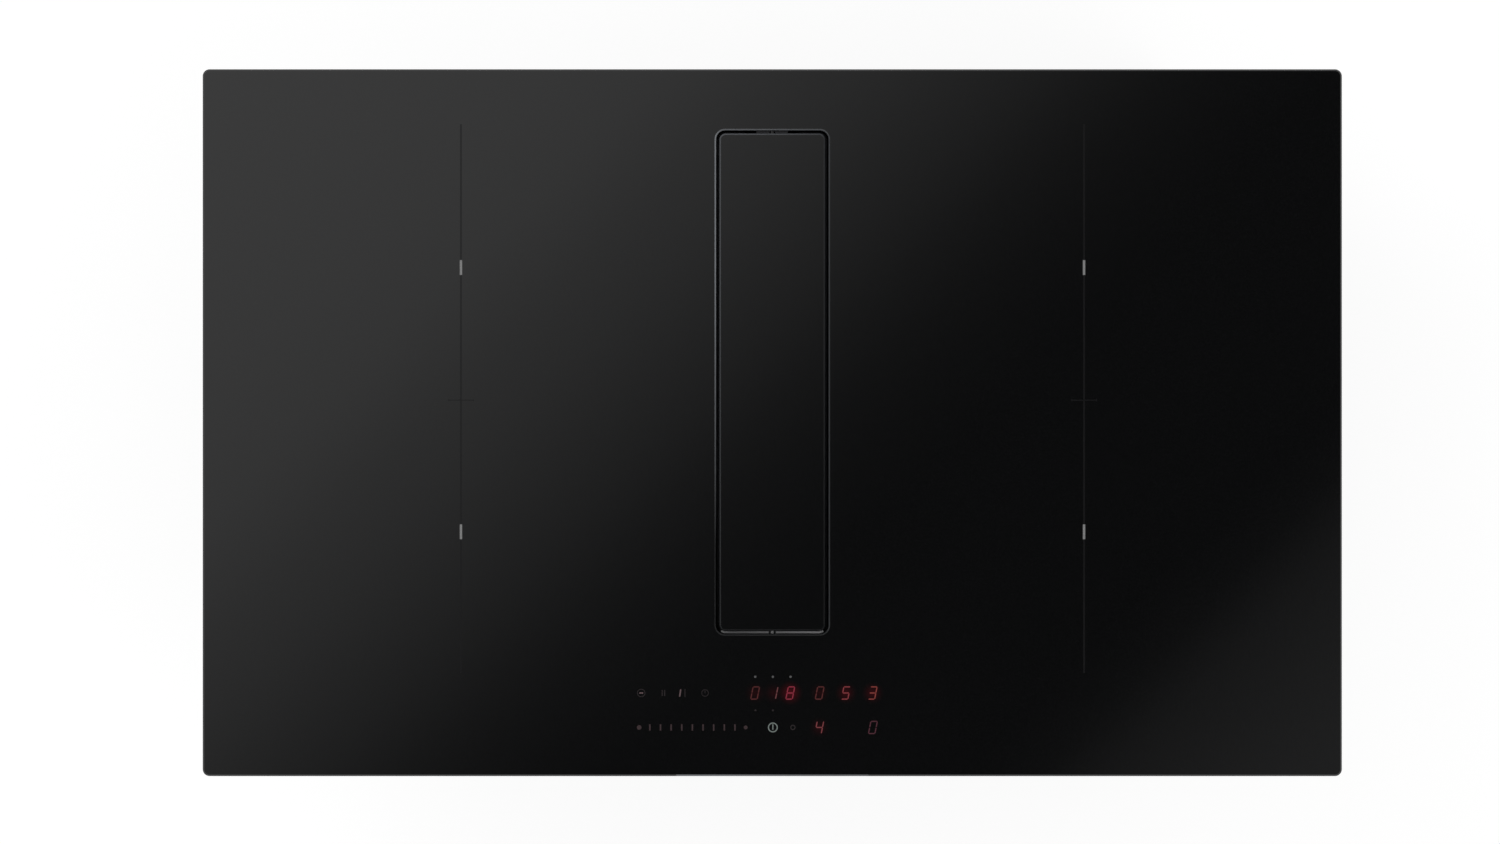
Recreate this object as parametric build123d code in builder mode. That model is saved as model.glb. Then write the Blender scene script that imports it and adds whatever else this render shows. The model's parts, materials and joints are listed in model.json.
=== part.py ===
from build123d import *
import math
import os

os.makedirs("parts", exist_ok=True)

# Downdraft induction cooktop: a black glass plate with four induction coils in a steel tray, and an
# extractor in its middle. A long flap, level with the glass, turns on two end pins and opens the slot.
# Under it hang a lift-out grease filter cassette, two odour filters, a centrifugal blower that blows out
# at the back through a flat duct, and a drip tank that slides out at the front.
#
# Millimetres. +X is right, +Y is the back of the worktop, +Z is up. The origin lies on the base, under
# the centre of the glass.

# ------------------------------------------------------------------ driving dimensions: fits
PLAY = 0.3  # left between pieces that rest beside each other
PRESS_PLAY = 0.02  # left round a shaft or a pin that is pressed in
RUNNING_CLEARANCE = 0.04  # left round a shaft that turns

# ------------------------------------------------------------------ driving dimensions: the glass
GLASS_WIDTH = 830.0
GLASS_DEPTH = 515.0
GLASS_THICKNESS = 4.0
GLASS_CORNER_RADIUS = 5.0
GLASS_BEVEL = 1.2
SEAL_WIDTH = 9.0
SEAL_THICKNESS = 2.0
SEAL_INSET = 3.0

SLOT_WIDTH = 82.0
SLOT_FRONT_MARGIN = 103.5
SLOT_BACK_MARGIN = 44.5
SLOT_CORNER_RADIUS = 6.5
SLOT_BEVEL = 1.0

# ------------------------------------------------------------------ driving dimensions: steel tray
DEPTH_BELOW_GLASS = 208.0
TRAY_SIDE_MARGIN = 46.0
TRAY_END_MARGIN = 18.5
TRAY_HEIGHT = 60.0
TRAY_CORNER_RADIUS = 8.0
TRAY_FLANGE = 6.0
SHEET = 1.0
VENT_WIDTH = 6.0
VENT_HEIGHT = 12.0
VENT_PITCH = 15.0
VENT_COUNT = 8
VENT_RISE = 7.0
BEAD_LENGTH = 150.0
BEAD_WIDTH = 16.0
BEAD_DEPTH = 2.0
BEAD_CORNER = 5.0
BEAD_PITCH = 56.0
BEAD_COUNT = 3

# ------------------------------------------------------------------ driving dimensions: coils
ZONE_SIDE_MARGIN = 188.5
ZONE_FRONT_MARGIN = 82.0
ZONE_BACK_MARGIN = 48.0
ZONE_GAP = 8.5
WINDING_WIDTH = 206.0
WINDING_CORNER_COUNT = 8
WINDING_PITCH = 8.8
WIRE_WIDTH = 7.4
WIRE_HEIGHT = 5.0
MICA_THICKNESS = 1.0
MICA_CORNER = 45.0
FERRITE_LENGTH = 50.0
FERRITE_WIDTH = 12.0
FERRITE_HEIGHT = 4.5
FERRITE_RADIUS = 58.0
FERRITES_PER_COIL = 6
CARRIER_WIDTH = 218.0
CARRIER_OVERHANG = 3.5
CARRIER_THICKNESS = 1.5
CARRIER_LIP = 6.0
SENSOR_WIDTH = 9.0
SPRING_WIDTH = 12.0
SPRING_THICKNESS = 0.8
SPRING_REACH = 34.0
SPRING_INSET_X = 24.0
SPRING_INSET_Y = 36.0

# ------------------------------------------------------------------ driving dimensions: electronics
BOARD_WIDTH = 190.0
BOARD_DEPTH = 230.0
BOARD_THICKNESS = 1.6
SPACER_HEIGHT = 6.0
SPACER_DIAMETER = 8.0
SPACER_INSET = 8.0
HEAT_SINK_WIDTH = 40.0
HEAT_SINK_LENGTH = 150.0
HEAT_SINK_HEIGHT = 25.0
HEAT_SINK_BASE = 4.0
HEAT_SINK_FINS = 7
FIN_THICKNESS = 2.0
CAN_DIAMETER = 30.0
CAN_HEIGHT = 28.0
FILM_CAPACITOR = (42.0, 20.0, 26.0)

CONTROL_X = -10.0
CONTROL_MARGIN = 51.5
CONTROL_WIDTH = 204.0
CONTROL_DEPTH = 50.0
CONTROL_RIM = 1.6
CONTROL_BOARD_DROP = 8.4
DISPLAY_WIDTH = 9.0
DISPLAY_DEPTH = 13.0
TOUCH_PAD_WIDTH = 8.0
DISPLAY_ROW_MARGIN = 59.9
SLIDER_ROW_MARGIN = 35.1
SLIDER_X = -57.6
SLIDER_PADS = 12
SLIDER_PAD_PITCH = 6.8
SLIDER_PAD_WIDTH = 5.8
DISPLAY_COLUMNS = (-12.4, 0.7, 13.1, 33.5, 54.0, 72.9)
LOWER_DISPLAY_COLUMNS = (34.3, 72.9)
KEY_COLUMNS = (-94.8, -81.7, -67.1, -49.6)
LOWER_KEY_COLUMNS = (0.7, 13.9)

TERMINAL_BOX = (110.0, 70.0, 34.0)
TERMINAL_SIDE_MARGIN = 26.0
TERMINAL_BACK_MARGIN = 20.0
TERMINAL_WALL = 2.0
GLAND_BORE = 12.0
GLAND_DIAMETER = 20.0
GLAND_LENGTH = 18.0
WIRE_PASSAGE = 16.0

# ------------------------------------------------------------------ driving dimensions: cooling fans
FAN_SIDE_MARGIN = 29.0
FAN_FRONT_MARGIN = 3.0
FAN_SIZE = 80.0
FAN_HEIGHT = 25.0
FAN_BORE = 75.0
FAN_HUB_DIAMETER = 32.0
FAN_BLADES = 7
FAN_BLADE_CHORD = 20.0
FAN_BLADE_THICKNESS = 1.4
FAN_BLADE_PITCH = 38.0
FAN_BLADE_ROOT = 4.0
FAN_TIP_CLEARANCE = 2.6
FAN_SEAT_HEIGHT = 4.0
FAN_HUB_HEIGHT = 17.5
FAN_STRUT = 4.0
GRILLE_SLOT = 5.0
GRILLE_PITCH = 9.0

# ------------------------------------------------------------------ driving dimensions: lower housing
PLENUM_LEFT = -140.0
PLENUM_STEP_X = 112.0
PLENUM_SIDE_MARGIN = 17.0
PLENUM_BACK_MARGIN = 9.0
PLENUM_FRONT_MARGIN = 17.0
PLENUM_STEP_MARGIN = 16.0
PLENUM_CORNER_RADIUS = 8.0
PLENUM_WALL = 2.5
PLENUM_FLOOR = 3.0
PLENUM_FLANGE = 9.0
PLENUM_FLANGE_THICKNESS = 3.0
PLENUM_RIB = 2.4
PLENUM_RIB_DEPTH = 3.0
PLENUM_SIDE_RIBS = 5
PLENUM_END_RIBS = 4
LID_THICKNESS = 2.0
SCREW_HEAD_DIAMETER = 8.0
SCREW_HEAD_HEIGHT = 3.0
SCREW_INSET = 55.0

# ------------------------------------------------------------------ driving dimensions: filter shaft
COLLAR_CLEARANCE = 0.2
COLLAR_WALL = 2.2
COLLAR_FLANGE = 9.0
COLLAR_FLANGE_THICKNESS = 2.5
COLLAR_FOOT = 5.0
SHAFT_DROP = 40.0
SHAFT_FLANGE = 6.0
SHAFT_FLANGE_THICKNESS = 2.0
SHAFT_LEDGE = 4.0
ODOUR_FILTER_THICKNESS = 24.0
ODOUR_FILTER_INSET = 46.0
ODOUR_FILTER_CELLS = 8
ODOUR_FILTER_ROWS = 2
ODOUR_FILTER_BAR = 4.0
ODOUR_FILTER_POCKET = 2.0
CRADLE_FLOOR = 2.0
CRADLE_WALL = 2.5
CRADLE_MARGIN = 5.0
DRAIN_SLOT = 6.0
DRAIN_SLOTS = 9

# ------------------------------------------------------------------ driving dimensions: drip tank
TANK_WIDTH = 112.0
TANK_HEIGHT = 26.0
TANK_BACK_MARGIN = 48.0
TANK_WALL = 1.8
TANK_SIDE_CLEARANCE = 0.8
TANK_RAIL = 2.5
TANK_FRONT_THICKNESS = 4.0
TANK_FRONT_OVERLAP = 9.0
TANK_FRONT_LIFT = 1.1
TANK_LIP_REACH = 14.0

# ------------------------------------------------------------------ driving dimensions: blower
DUCT_WIDTH = 217.5
DUCT_HEIGHT = 84.5
DUCT_WALL = 2.0
DUCT_LENGTH = 34.0
DUCT_FLANGE = 6.0
DUCT_FLANGE_THICKNESS = 2.5
DUCT_BEAD = 0.8
DUCT_BEAD_WIDTH = 3.0
BLOWER_X = 194.0
BLOWER_FRONT_MARGIN = 12.0
SCROLL_RADIUS = 94.0
SCROLL_STEP = 7.0
SCROLL_WALL = 2.25
SCROLL_FOOT_HEIGHT = 9.0
SCROLL_FOOT_WIDTH = 14.0
SCROLL_FOOT_SPACING = 104.0
TONGUE_ANGLE = 72.0
TONGUE_RADIUS = 4.0
BELL_RADIUS = 64.0
BELL_LIP = 7.0
IMPELLER_RADIUS = 84.0
IMPELLER_EYE = 68.0
IMPELLER_HEIGHT = 66.0
IMPELLER_LIFT = 5.75
IMPELLER_BLADES = 26
IMPELLER_BLADE = 1.5
IMPELLER_BLADE_SWEEP = (-2.0, 0.4, 6.0)
IMPELLER_PLATE = 2.0
MOTOR_FLANGE_WIDTH = 64.0
MOTOR_FLANGE_THICKNESS = 2.75
BEARING_RADIUS = 9.0
BEARING_HEIGHT = 7.0
TUBE_WALL = 3.0
TUBE_HEIGHT = 44.0
SHAFT_RADIUS = 4.0
STATOR_RADIUS = 37.0
STATOR_HEIGHT = 20.0
STATOR_LIFT = 12.0
STATOR_TEETH = 9
ROTOR_GAP = 1.0
ROTOR_WALL = 2.6
ROTOR_HEIGHT = 43.0
ROTOR_TOP_GAP = 2.0

# ------------------------------------------------------------------ driving dimensions: cassette, flap
CASSETTE_SIDE_CLEARANCE = 0.8
CASSETTE_END_CLEARANCE = 0.3
CASSETTE_WALL = 1.6
CASSETTE_SEAT_CLEARANCE = 0.3
CASSETTE_SIDE_DROP = 22.0
CASSETTE_TAB_WIDTH = 30.0
CASSETTE_TAB_DROP = 0.7
CASSETTE_FLANGE = 6.0
CASSETTE_FLANGE_THICKNESS = 2.0
CASSETTE_BARS = 3
PANEL_THICKNESS = 4.0
PANEL_TOP_BELOW_GLASS = 50.0
PANEL_FRAME = 4.0
PANEL_SLOT_LENGTH = 23.0
PANEL_SLOT_WIDTH = 7.0
PANEL_COLUMNS = 12
PANEL_ROWS = 3
GUTTER_HALF_WIDTH = 5.0
HANDLE_WIDTH = 18.0
HANDLE_THICKNESS = 3.0
HANDLE_FOOT = 12.0
FLAP_WIDTH = 77.0
FLAP_END_CLEARANCE = 0.4
FLAP_CORNER_RADIUS = 4.5
FLAP_BEVEL = 1.0
FLAP_CARRIER_INSET = 3.0
FLAP_CARRIER_DEPTH = 6.0
FLAP_CARRIER_SHEET = 1.5
FLAP_PIN_DIAMETER = 4.0
FLAP_PIN_LENGTH = 14.0
FLAP_PIN_DEPTH = 3.5
FLAP_PIN_CLEARANCE = 0.05
FLAP_BOSS_WIDTH = 12.0
FLAP_BOSS_WALL = 1.2

# ------------------------------------------------------------------ driving dimensions: worktop clips
CLIP_WIDTH = 24.0
CLIP_THICKNESS = 0.8
CLIP_BULGE = 7.0
CLIP_HEIGHT = 34.0
CLIP_SPACING = 300.0

# ------------------------------------------------------------------ levels and places worked out
GLASS_FRONT_Y = -GLASS_DEPTH / 2
SLOT_BACK_Y = GLASS_DEPTH / 2 - SLOT_BACK_MARGIN
SLOT_LENGTH = GLASS_DEPTH - SLOT_FRONT_MARGIN - SLOT_BACK_MARGIN
SLOT_CENTRE_Y = SLOT_BACK_Y - SLOT_LENGTH / 2
TRAY_WIDTH = GLASS_WIDTH - 2 * TRAY_SIDE_MARGIN
TRAY_DEPTH = GLASS_DEPTH - 2 * TRAY_END_MARGIN
ZONE_X = GLASS_WIDTH / 2 - ZONE_SIDE_MARGIN
ZONE_PITCH = (GLASS_DEPTH - ZONE_FRONT_MARGIN - ZONE_BACK_MARGIN) / 2
ZONE_MIDDLE_Y = GLASS_FRONT_Y + ZONE_FRONT_MARGIN + ZONE_PITCH
WINDING_DEPTH = ZONE_PITCH - ZONE_GAP
WINDING_TURNS = int((WINDING_DEPTH / 2 - WIRE_WIDTH - SENSOR_WIDTH) / WINDING_PITCH)
CARRIER_DEPTH = 2 * (ZONE_PITCH + CARRIER_OVERHANG)
CONTROL_Y = GLASS_FRONT_Y + CONTROL_MARGIN
DISPLAY_ROW_Y = GLASS_FRONT_Y + DISPLAY_ROW_MARGIN
SLIDER_ROW_Y = GLASS_FRONT_Y + SLIDER_ROW_MARGIN
FAN_X = TRAY_WIDTH / 2 - FAN_SIDE_MARGIN - FAN_SIZE / 2
FAN_Y = FAN_FRONT_MARGIN + FAN_SIZE / 2 - TRAY_DEPTH / 2
PLENUM_RIGHT = BLOWER_X + SCROLL_RADIUS + 3 * SCROLL_STEP + PLENUM_SIDE_MARGIN
PLENUM_BACK = SLOT_BACK_Y + PLENUM_BACK_MARGIN
PLENUM_FRONT = PLENUM_FRONT_MARGIN - TRAY_DEPTH / 2
PLENUM_STEP_Y = FAN_Y + FAN_SIZE / 2 + PLENUM_STEP_MARGIN
BLOWER_Y = PLENUM_STEP_Y + BLOWER_FRONT_MARGIN + SCROLL_RADIUS + 2 * SCROLL_STEP
TERMINAL_X = PLENUM_LEFT - PLENUM_FLANGE - TERMINAL_SIDE_MARGIN - TERMINAL_BOX[0] / 2
TERMINAL_Y = TRAY_DEPTH / 2 - TERMINAL_BACK_MARGIN - TERMINAL_BOX[1] / 2
TANK_BACK = SLOT_BACK_Y - TANK_BACK_MARGIN

GLASS_Z = DEPTH_BELOW_GLASS
TRAY_Z = GLASS_Z - TRAY_HEIGHT
TRAY_FLOOR_Z = TRAY_Z + SHEET
LID_Z = TRAY_Z - LID_THICKNESS
MICA_Z = GLASS_Z - MICA_THICKNESS
WINDING_Z = MICA_Z - WIRE_HEIGHT
FERRITE_Z = WINDING_Z - FERRITE_HEIGHT
CARRIER_Z = FERRITE_Z - CARRIER_THICKNESS
BOARD_Z = TRAY_FLOOR_Z + SPACER_HEIGHT
BOARD_TOP_Z = BOARD_Z + BOARD_THICKNESS
CONTROL_BOARD_TOP_Z = GLASS_Z - CONTROL_BOARD_DROP
CONTROL_FRAME_Z = CONTROL_BOARD_TOP_Z - BOARD_THICKNESS - CONTROL_RIM
SHAFT_Z = LID_Z - SHAFT_DROP
LEDGE_Z = SHAFT_Z + SHAFT_FLANGE_THICKNESS
CASSETTE_Z = LEDGE_Z + SHAFT_FLANGE_THICKNESS + CASSETTE_SEAT_CLEARANCE
CASSETTE_WIDTH = SLOT_WIDTH - 2 * CASSETTE_SIDE_CLEARANCE
CASSETTE_LENGTH = SLOT_LENGTH - 2 * CASSETTE_END_CLEARANCE
CASSETTE_SIDE_TOP_Z = GLASS_Z - CASSETTE_SIDE_DROP
FLAP_LENGTH = CASSETTE_LENGTH - 2 * CASSETTE_WALL - 2 * FLAP_END_CLEARANCE
FLAP_AXIS_Z = GLASS_Z - FLAP_PIN_DEPTH
TANK_Z = PLENUM_FLOOR + PLAY
CRADLE_Z = TANK_Z + TANK_HEIGHT + 2 * PLAY
CRADLE_TOP_Z = CRADLE_Z + CRADLE_FLOOR
SCROLL_Z = PLENUM_FLOOR + SCROLL_FOOT_HEIGHT
SCROLL_AIR_HEIGHT = DUCT_HEIGHT - 2 * DUCT_WALL
SCROLL_FLOOR_Z = SCROLL_Z + SCROLL_WALL
SCROLL_TOP_Z = SCROLL_FLOOR_Z + SCROLL_AIR_HEIGHT
DUCT_CENTRE_Z = SCROLL_FLOOR_Z + SCROLL_AIR_HEIGHT / 2
DUCT_CENTRE_X = BLOWER_X + SCROLL_STEP + SCROLL_RADIUS + 2 * SCROLL_STEP - DUCT_WIDTH / 2 + DUCT_WALL
IMPELLER_Z = SCROLL_FLOOR_Z + IMPELLER_LIFT
TUBE_Z = SCROLL_FLOOR_Z + MOTOR_FLANGE_THICKNESS
TUBE_TOP_Z = SCROLL_FLOOR_Z + TUBE_HEIGHT
ROTOR_TOP_Z = TUBE_TOP_Z + ROTOR_TOP_GAP + ROTOR_WALL

COIL_CENTRES = {
    "rear_left": (-ZONE_X, ZONE_MIDDLE_Y + ZONE_PITCH / 2),
    "front_left": (-ZONE_X, ZONE_MIDDLE_Y - ZONE_PITCH / 2),
    "rear_right": (ZONE_X, ZONE_MIDDLE_Y + ZONE_PITCH / 2),
    "front_right": (ZONE_X, ZONE_MIDDLE_Y - ZONE_PITCH / 2),
}
SIDES = {"left": -1, "right": 1}
BLOWER_AXIS = (BLOWER_X, BLOWER_Y)
WIRE_PASSAGE_PLACE = (TERMINAL_X + TERMINAL_BOX[0] / 4, TERMINAL_Y)
SCREW_LEFT_X = PLENUM_LEFT - PLENUM_FLANGE / 2
SCREW_RIGHT_X = PLENUM_RIGHT + PLENUM_FLANGE / 2
SCREW_BACK_Y = PLENUM_BACK + PLENUM_FLANGE / 2
SCREW_FRONT_Y = PLENUM_FRONT - PLENUM_FLANGE / 2
LID_SCREWS = [
    (SCREW_LEFT_X, PLENUM_FRONT + SCREW_INSET),
    (SCREW_LEFT_X, (PLENUM_FRONT + PLENUM_BACK) / 2),
    (SCREW_LEFT_X, PLENUM_BACK - SCREW_INSET),
    (SCREW_RIGHT_X, PLENUM_STEP_Y + SCREW_INSET),
    (SCREW_RIGHT_X, PLENUM_BACK - SCREW_INSET),
    (PLENUM_LEFT + SCREW_INSET, SCREW_BACK_Y),
    ((PLENUM_LEFT + PLENUM_RIGHT) / 2, SCREW_BACK_Y),
    (PLENUM_RIGHT - SCREW_INSET, SCREW_BACK_Y),
    (PLENUM_LEFT + SCREW_INSET, SCREW_FRONT_Y),
    (PLENUM_STEP_X - SCREW_INSET, SCREW_FRONT_Y),
    (PLENUM_RIGHT - SCREW_INSET, PLENUM_STEP_Y - PLENUM_FLANGE / 2),
]


def save(piece, name):
    """Labels a finished piece and writes it as a STEP file of its own."""
    piece.part.label = name
    export_step(piece.part, f"parts/{name}.step")


def slot_outline(grow, mode=Mode.ADD):
    """The extractor slot's outline, grown by the same margin on every side."""
    with Locations((0, SLOT_CENTRE_Y)):
        RectangleRounded(
            SLOT_WIDTH + 2 * grow, SLOT_LENGTH + 2 * grow, SLOT_CORNER_RADIUS + grow, mode=mode
        )


def slot_rectangle(grow, mode=Mode.ADD):
    """The slot's outline with square corners, for the hidden flanges and holes round it."""
    with Locations((0, SLOT_CENTRE_Y)):
        Rectangle(SLOT_WIDTH + 2 * grow, SLOT_LENGTH + 2 * grow, mode=mode)


def cassette_outline(shrink, mode=Mode.ADD):
    """The cassette's outer outline, taken in by a wall thickness."""
    radius = SLOT_CORNER_RADIUS - CASSETTE_END_CLEARANCE - shrink
    with Locations((0, SLOT_CENTRE_Y)):
        RectangleRounded(CASSETTE_WIDTH - 2 * shrink, CASSETTE_LENGTH - 2 * shrink, radius, mode=mode)


# ================================================================== glass, seal and collar
with BuildPart() as ceramic_glass:
    with BuildSketch(Plane.XY.offset(GLASS_Z)):
        RectangleRounded(GLASS_WIDTH, GLASS_DEPTH, GLASS_CORNER_RADIUS)
        slot_outline(0, mode=Mode.SUBTRACT)
    extrude(amount=GLASS_THICKNESS)
    glass_top = ceramic_glass.faces().sort_by(Axis.Z)[-1]
    chamfer(glass_top.outer_wire().edges(), GLASS_BEVEL)
    glass_top = ceramic_glass.faces().sort_by(Axis.Z)[-1]
    chamfer(glass_top.inner_wires()[0].edges(), SLOT_BEVEL)
save(ceramic_glass, "ceramic_glass")

# The foam strip under the rim: its underside is what lies on the worktop.
with BuildPart() as worktop_seal:
    with BuildSketch(Plane.XY.offset(GLASS_Z - SEAL_THICKNESS)):
        Rectangle(GLASS_WIDTH - 2 * SEAL_INSET, GLASS_DEPTH - 2 * SEAL_INSET)
        Rectangle(
            GLASS_WIDTH - 2 * (SEAL_INSET + SEAL_WIDTH),
            GLASS_DEPTH - 2 * (SEAL_INSET + SEAL_WIDTH),
            mode=Mode.SUBTRACT,
        )
    extrude(amount=SEAL_THICKNESS)
save(worktop_seal, "worktop_seal")

# The moulded collar that lines the slot from the glass down to the tray's floor.
with BuildPart() as inlet_collar:
    with BuildSketch(Plane.XY.offset(TRAY_FLOOR_Z)):
        slot_outline(COLLAR_CLEARANCE + COLLAR_WALL)
    extrude(amount=GLASS_Z - TRAY_FLOOR_Z)
    with BuildSketch(Plane.XY.offset(GLASS_Z - COLLAR_FLANGE_THICKNESS)):
        slot_rectangle(COLLAR_CLEARANCE + COLLAR_FLANGE)
    extrude(amount=COLLAR_FLANGE_THICKNESS)
    with BuildSketch(Plane.XY.offset(TRAY_FLOOR_Z)):
        slot_rectangle(COLLAR_CLEARANCE + COLLAR_FOOT)
    extrude(amount=COLLAR_WALL)
    with BuildSketch(Plane.XY.offset(TRAY_FLOOR_Z)):
        slot_outline(COLLAR_CLEARANCE)
    extrude(amount=GLASS_Z - TRAY_FLOOR_Z, mode=Mode.SUBTRACT)
save(inlet_collar, "inlet_collar")

# ================================================================== steel tray
with BuildPart() as hob_casing:
    with BuildSketch(Plane.XY.offset(TRAY_Z)):
        RectangleRounded(TRAY_WIDTH, TRAY_DEPTH, TRAY_CORNER_RADIUS)
    extrude(amount=TRAY_HEIGHT)
    with BuildSketch(Plane.XY.offset(TRAY_FLOOR_Z)):
        RectangleRounded(
            TRAY_WIDTH - 2 * SHEET, TRAY_DEPTH - 2 * SHEET, TRAY_CORNER_RADIUS - SHEET
        )
    extrude(amount=TRAY_HEIGHT - 2 * SHEET, mode=Mode.SUBTRACT)
    with BuildSketch(Plane.XY.offset(GLASS_Z - SHEET)):
        Rectangle(TRAY_WIDTH - 2 * TRAY_FLANGE, TRAY_DEPTH - 2 * TRAY_FLANGE)
    extrude(amount=SHEET, mode=Mode.SUBTRACT)
    # Pressed beads stiffen the floor that the lower housing leaves free.
    bead_x = (PLENUM_LEFT - PLENUM_FLANGE - TRAY_WIDTH / 2) / 2
    with BuildSketch(Plane.XY.offset(TRAY_Z - BEAD_DEPTH)) as bead_plan:
        with Locations((bead_x, 0)):
            with GridLocations(1, BEAD_PITCH, 1, BEAD_COUNT):
                Rectangle(BEAD_LENGTH, BEAD_WIDTH)
        chamfer(bead_plan.vertices(), BEAD_CORNER)
    extrude(amount=BEAD_DEPTH)
    with BuildSketch(Plane.XY.offset(TRAY_Z - BEAD_DEPTH + SHEET)):
        offset(bead_plan.sketch, amount=-SHEET, kind=Kind.INTERSECTION)
    extrude(amount=BEAD_DEPTH + SHEET, mode=Mode.SUBTRACT)
    with BuildSketch(Plane.XY.offset(TRAY_Z)):
        slot_rectangle(COLLAR_CLEARANCE)
        with Locations(WIRE_PASSAGE_PLACE):
            Rectangle(WIRE_PASSAGE, WIRE_PASSAGE)
        for side in SIDES.values():
            for bar in range(-3, 4):
                half_chord = math.sqrt((FAN_BORE / 2) ** 2 - (bar * GRILLE_PITCH) ** 2)
                with Locations((side * FAN_X + bar * GRILLE_PITCH, FAN_Y)):
                    Rectangle(GRILLE_SLOT, 2 * half_chord - GRILLE_SLOT)
    extrude(amount=SHEET, mode=Mode.SUBTRACT)
    # Air leaves through vents low in the side walls and in the back wall.
    with BuildSketch(Plane.YZ):
        with Locations((0, TRAY_FLOOR_Z + VENT_RISE)):
            with GridLocations(VENT_PITCH, VENT_HEIGHT, VENT_COUNT, 1):
                Rectangle(VENT_WIDTH, VENT_HEIGHT)
    extrude(amount=TRAY_WIDTH / 2, both=True, mode=Mode.SUBTRACT)
    with BuildSketch(Plane.XZ.offset(-TRAY_DEPTH / 2)):
        for side in SIDES.values():
            with Locations((side * ZONE_X, TRAY_FLOOR_Z + VENT_RISE)):
                with GridLocations(VENT_PITCH, VENT_HEIGHT, VENT_COUNT, 1):
                    Rectangle(VENT_WIDTH, VENT_HEIGHT)
    extrude(amount=SHEET, mode=Mode.SUBTRACT)
save(hob_casing, "hob_casing")

# Sprung clips on the side walls grip the edges of the worktop's cut-out.
clip_middle_z = GLASS_Z - SEAL_THICKNESS - CLIP_HEIGHT / 2 - 2 * CLIP_THICKNESS
with BuildPart() as worktop_clips:
    clip_planes = [
        Plane(
            origin=(side * TRAY_WIDTH / 2, end * CLIP_SPACING / 2, clip_middle_z),
            x_dir=(side, 0, 0),
            z_dir=(0, -side, 0),
        )
        for side in SIDES.values()
        for end in (-1, 1)
    ]
    with BuildSketch(*clip_planes):
        with BuildLine():
            clip_foot = CLIP_THICKNESS / 2
            Polyline(
                (clip_foot, CLIP_HEIGHT / 2),
                (clip_foot, CLIP_HEIGHT / 4),
                (CLIP_BULGE, -CLIP_HEIGHT / 16),
                (CLIP_BULGE, -CLIP_HEIGHT / 6),
                (clip_foot, -CLIP_HEIGHT / 2),
            )
        trace(line_width=CLIP_THICKNESS)
    extrude(amount=CLIP_WIDTH / 2, both=True)
save(worktop_clips, "worktop_clips")


# ================================================================== induction coils
def make_winding(name, centre):
    """A flat winding: one unbroken octagonal spiral of square litz wire."""
    half_angle = math.pi / WINDING_CORNER_COUNT
    outer_apothem = WINDING_DEPTH / 2
    start = outer_apothem - WINDING_TURNS * WINDING_PITCH - WIRE_WIDTH
    stretch = WINDING_WIDTH / WINDING_DEPTH

    def corner(index, extra):
        reach = (start + WINDING_PITCH * index / WINDING_CORNER_COUNT + extra) / math.cos(half_angle)
        angle = half_angle + index * 2 * half_angle
        return (
            centre[0] + stretch * reach * math.cos(angle),
            centre[1] + reach * math.sin(angle),
        )

    corners = range(WINDING_TURNS * WINDING_CORNER_COUNT + 1)
    inner_side = [corner(index, 0) for index in corners]
    outer_side = [corner(index, WIRE_WIDTH) for index in corners]
    with BuildPart() as winding:
        with BuildSketch(Plane.XY.offset(WINDING_Z)):
            with BuildLine():
                Polyline(*inner_side, *reversed(outer_side), close=True)
            make_face()
        extrude(amount=WIRE_HEIGHT)
    save(winding, name)


print("gap between the turns of a winding:", round(WINDING_PITCH - WIRE_WIDTH, 2))
for zone, zone_centre in COIL_CENTRES.items():
    make_winding(f"coil_{zone}", zone_centre)

with BuildPart() as ferrite_bars:
    with BuildSketch(Plane.XY.offset(FERRITE_Z)):
        with Locations(*COIL_CENTRES.values()):
            with PolarLocations(FERRITE_RADIUS, FERRITES_PER_COIL):
                Rectangle(FERRITE_LENGTH, FERRITE_WIDTH)
    extrude(amount=FERRITE_HEIGHT)
save(ferrite_bars, "ferrite_bars")

with BuildPart() as mica_sheets:
    with BuildSketch(Plane.XY.offset(MICA_Z)) as mica_plan:
        with Locations(*COIL_CENTRES.values()):
            Rectangle(WINDING_WIDTH, WINDING_DEPTH)
        chamfer(mica_plan.vertices(), MICA_CORNER)
        with Locations(*COIL_CENTRES.values()):
            Rectangle(2 * SENSOR_WIDTH, 2 * SENSOR_WIDTH, mode=Mode.SUBTRACT)
    extrude(amount=MICA_THICKNESS)
save(mica_sheets, "mica_sheets")

# A temperature sensor stands in the middle of each coil and touches the glass.
with BuildPart() as coil_sensors:
    with BuildSketch(Plane.XY.offset(FERRITE_Z)):
        with Locations(*COIL_CENTRES.values()):
            Rectangle(SENSOR_WIDTH, SENSOR_WIDTH)
    extrude(amount=GLASS_Z - FERRITE_Z)
save(coil_sensors, "coil_sensors")


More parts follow.
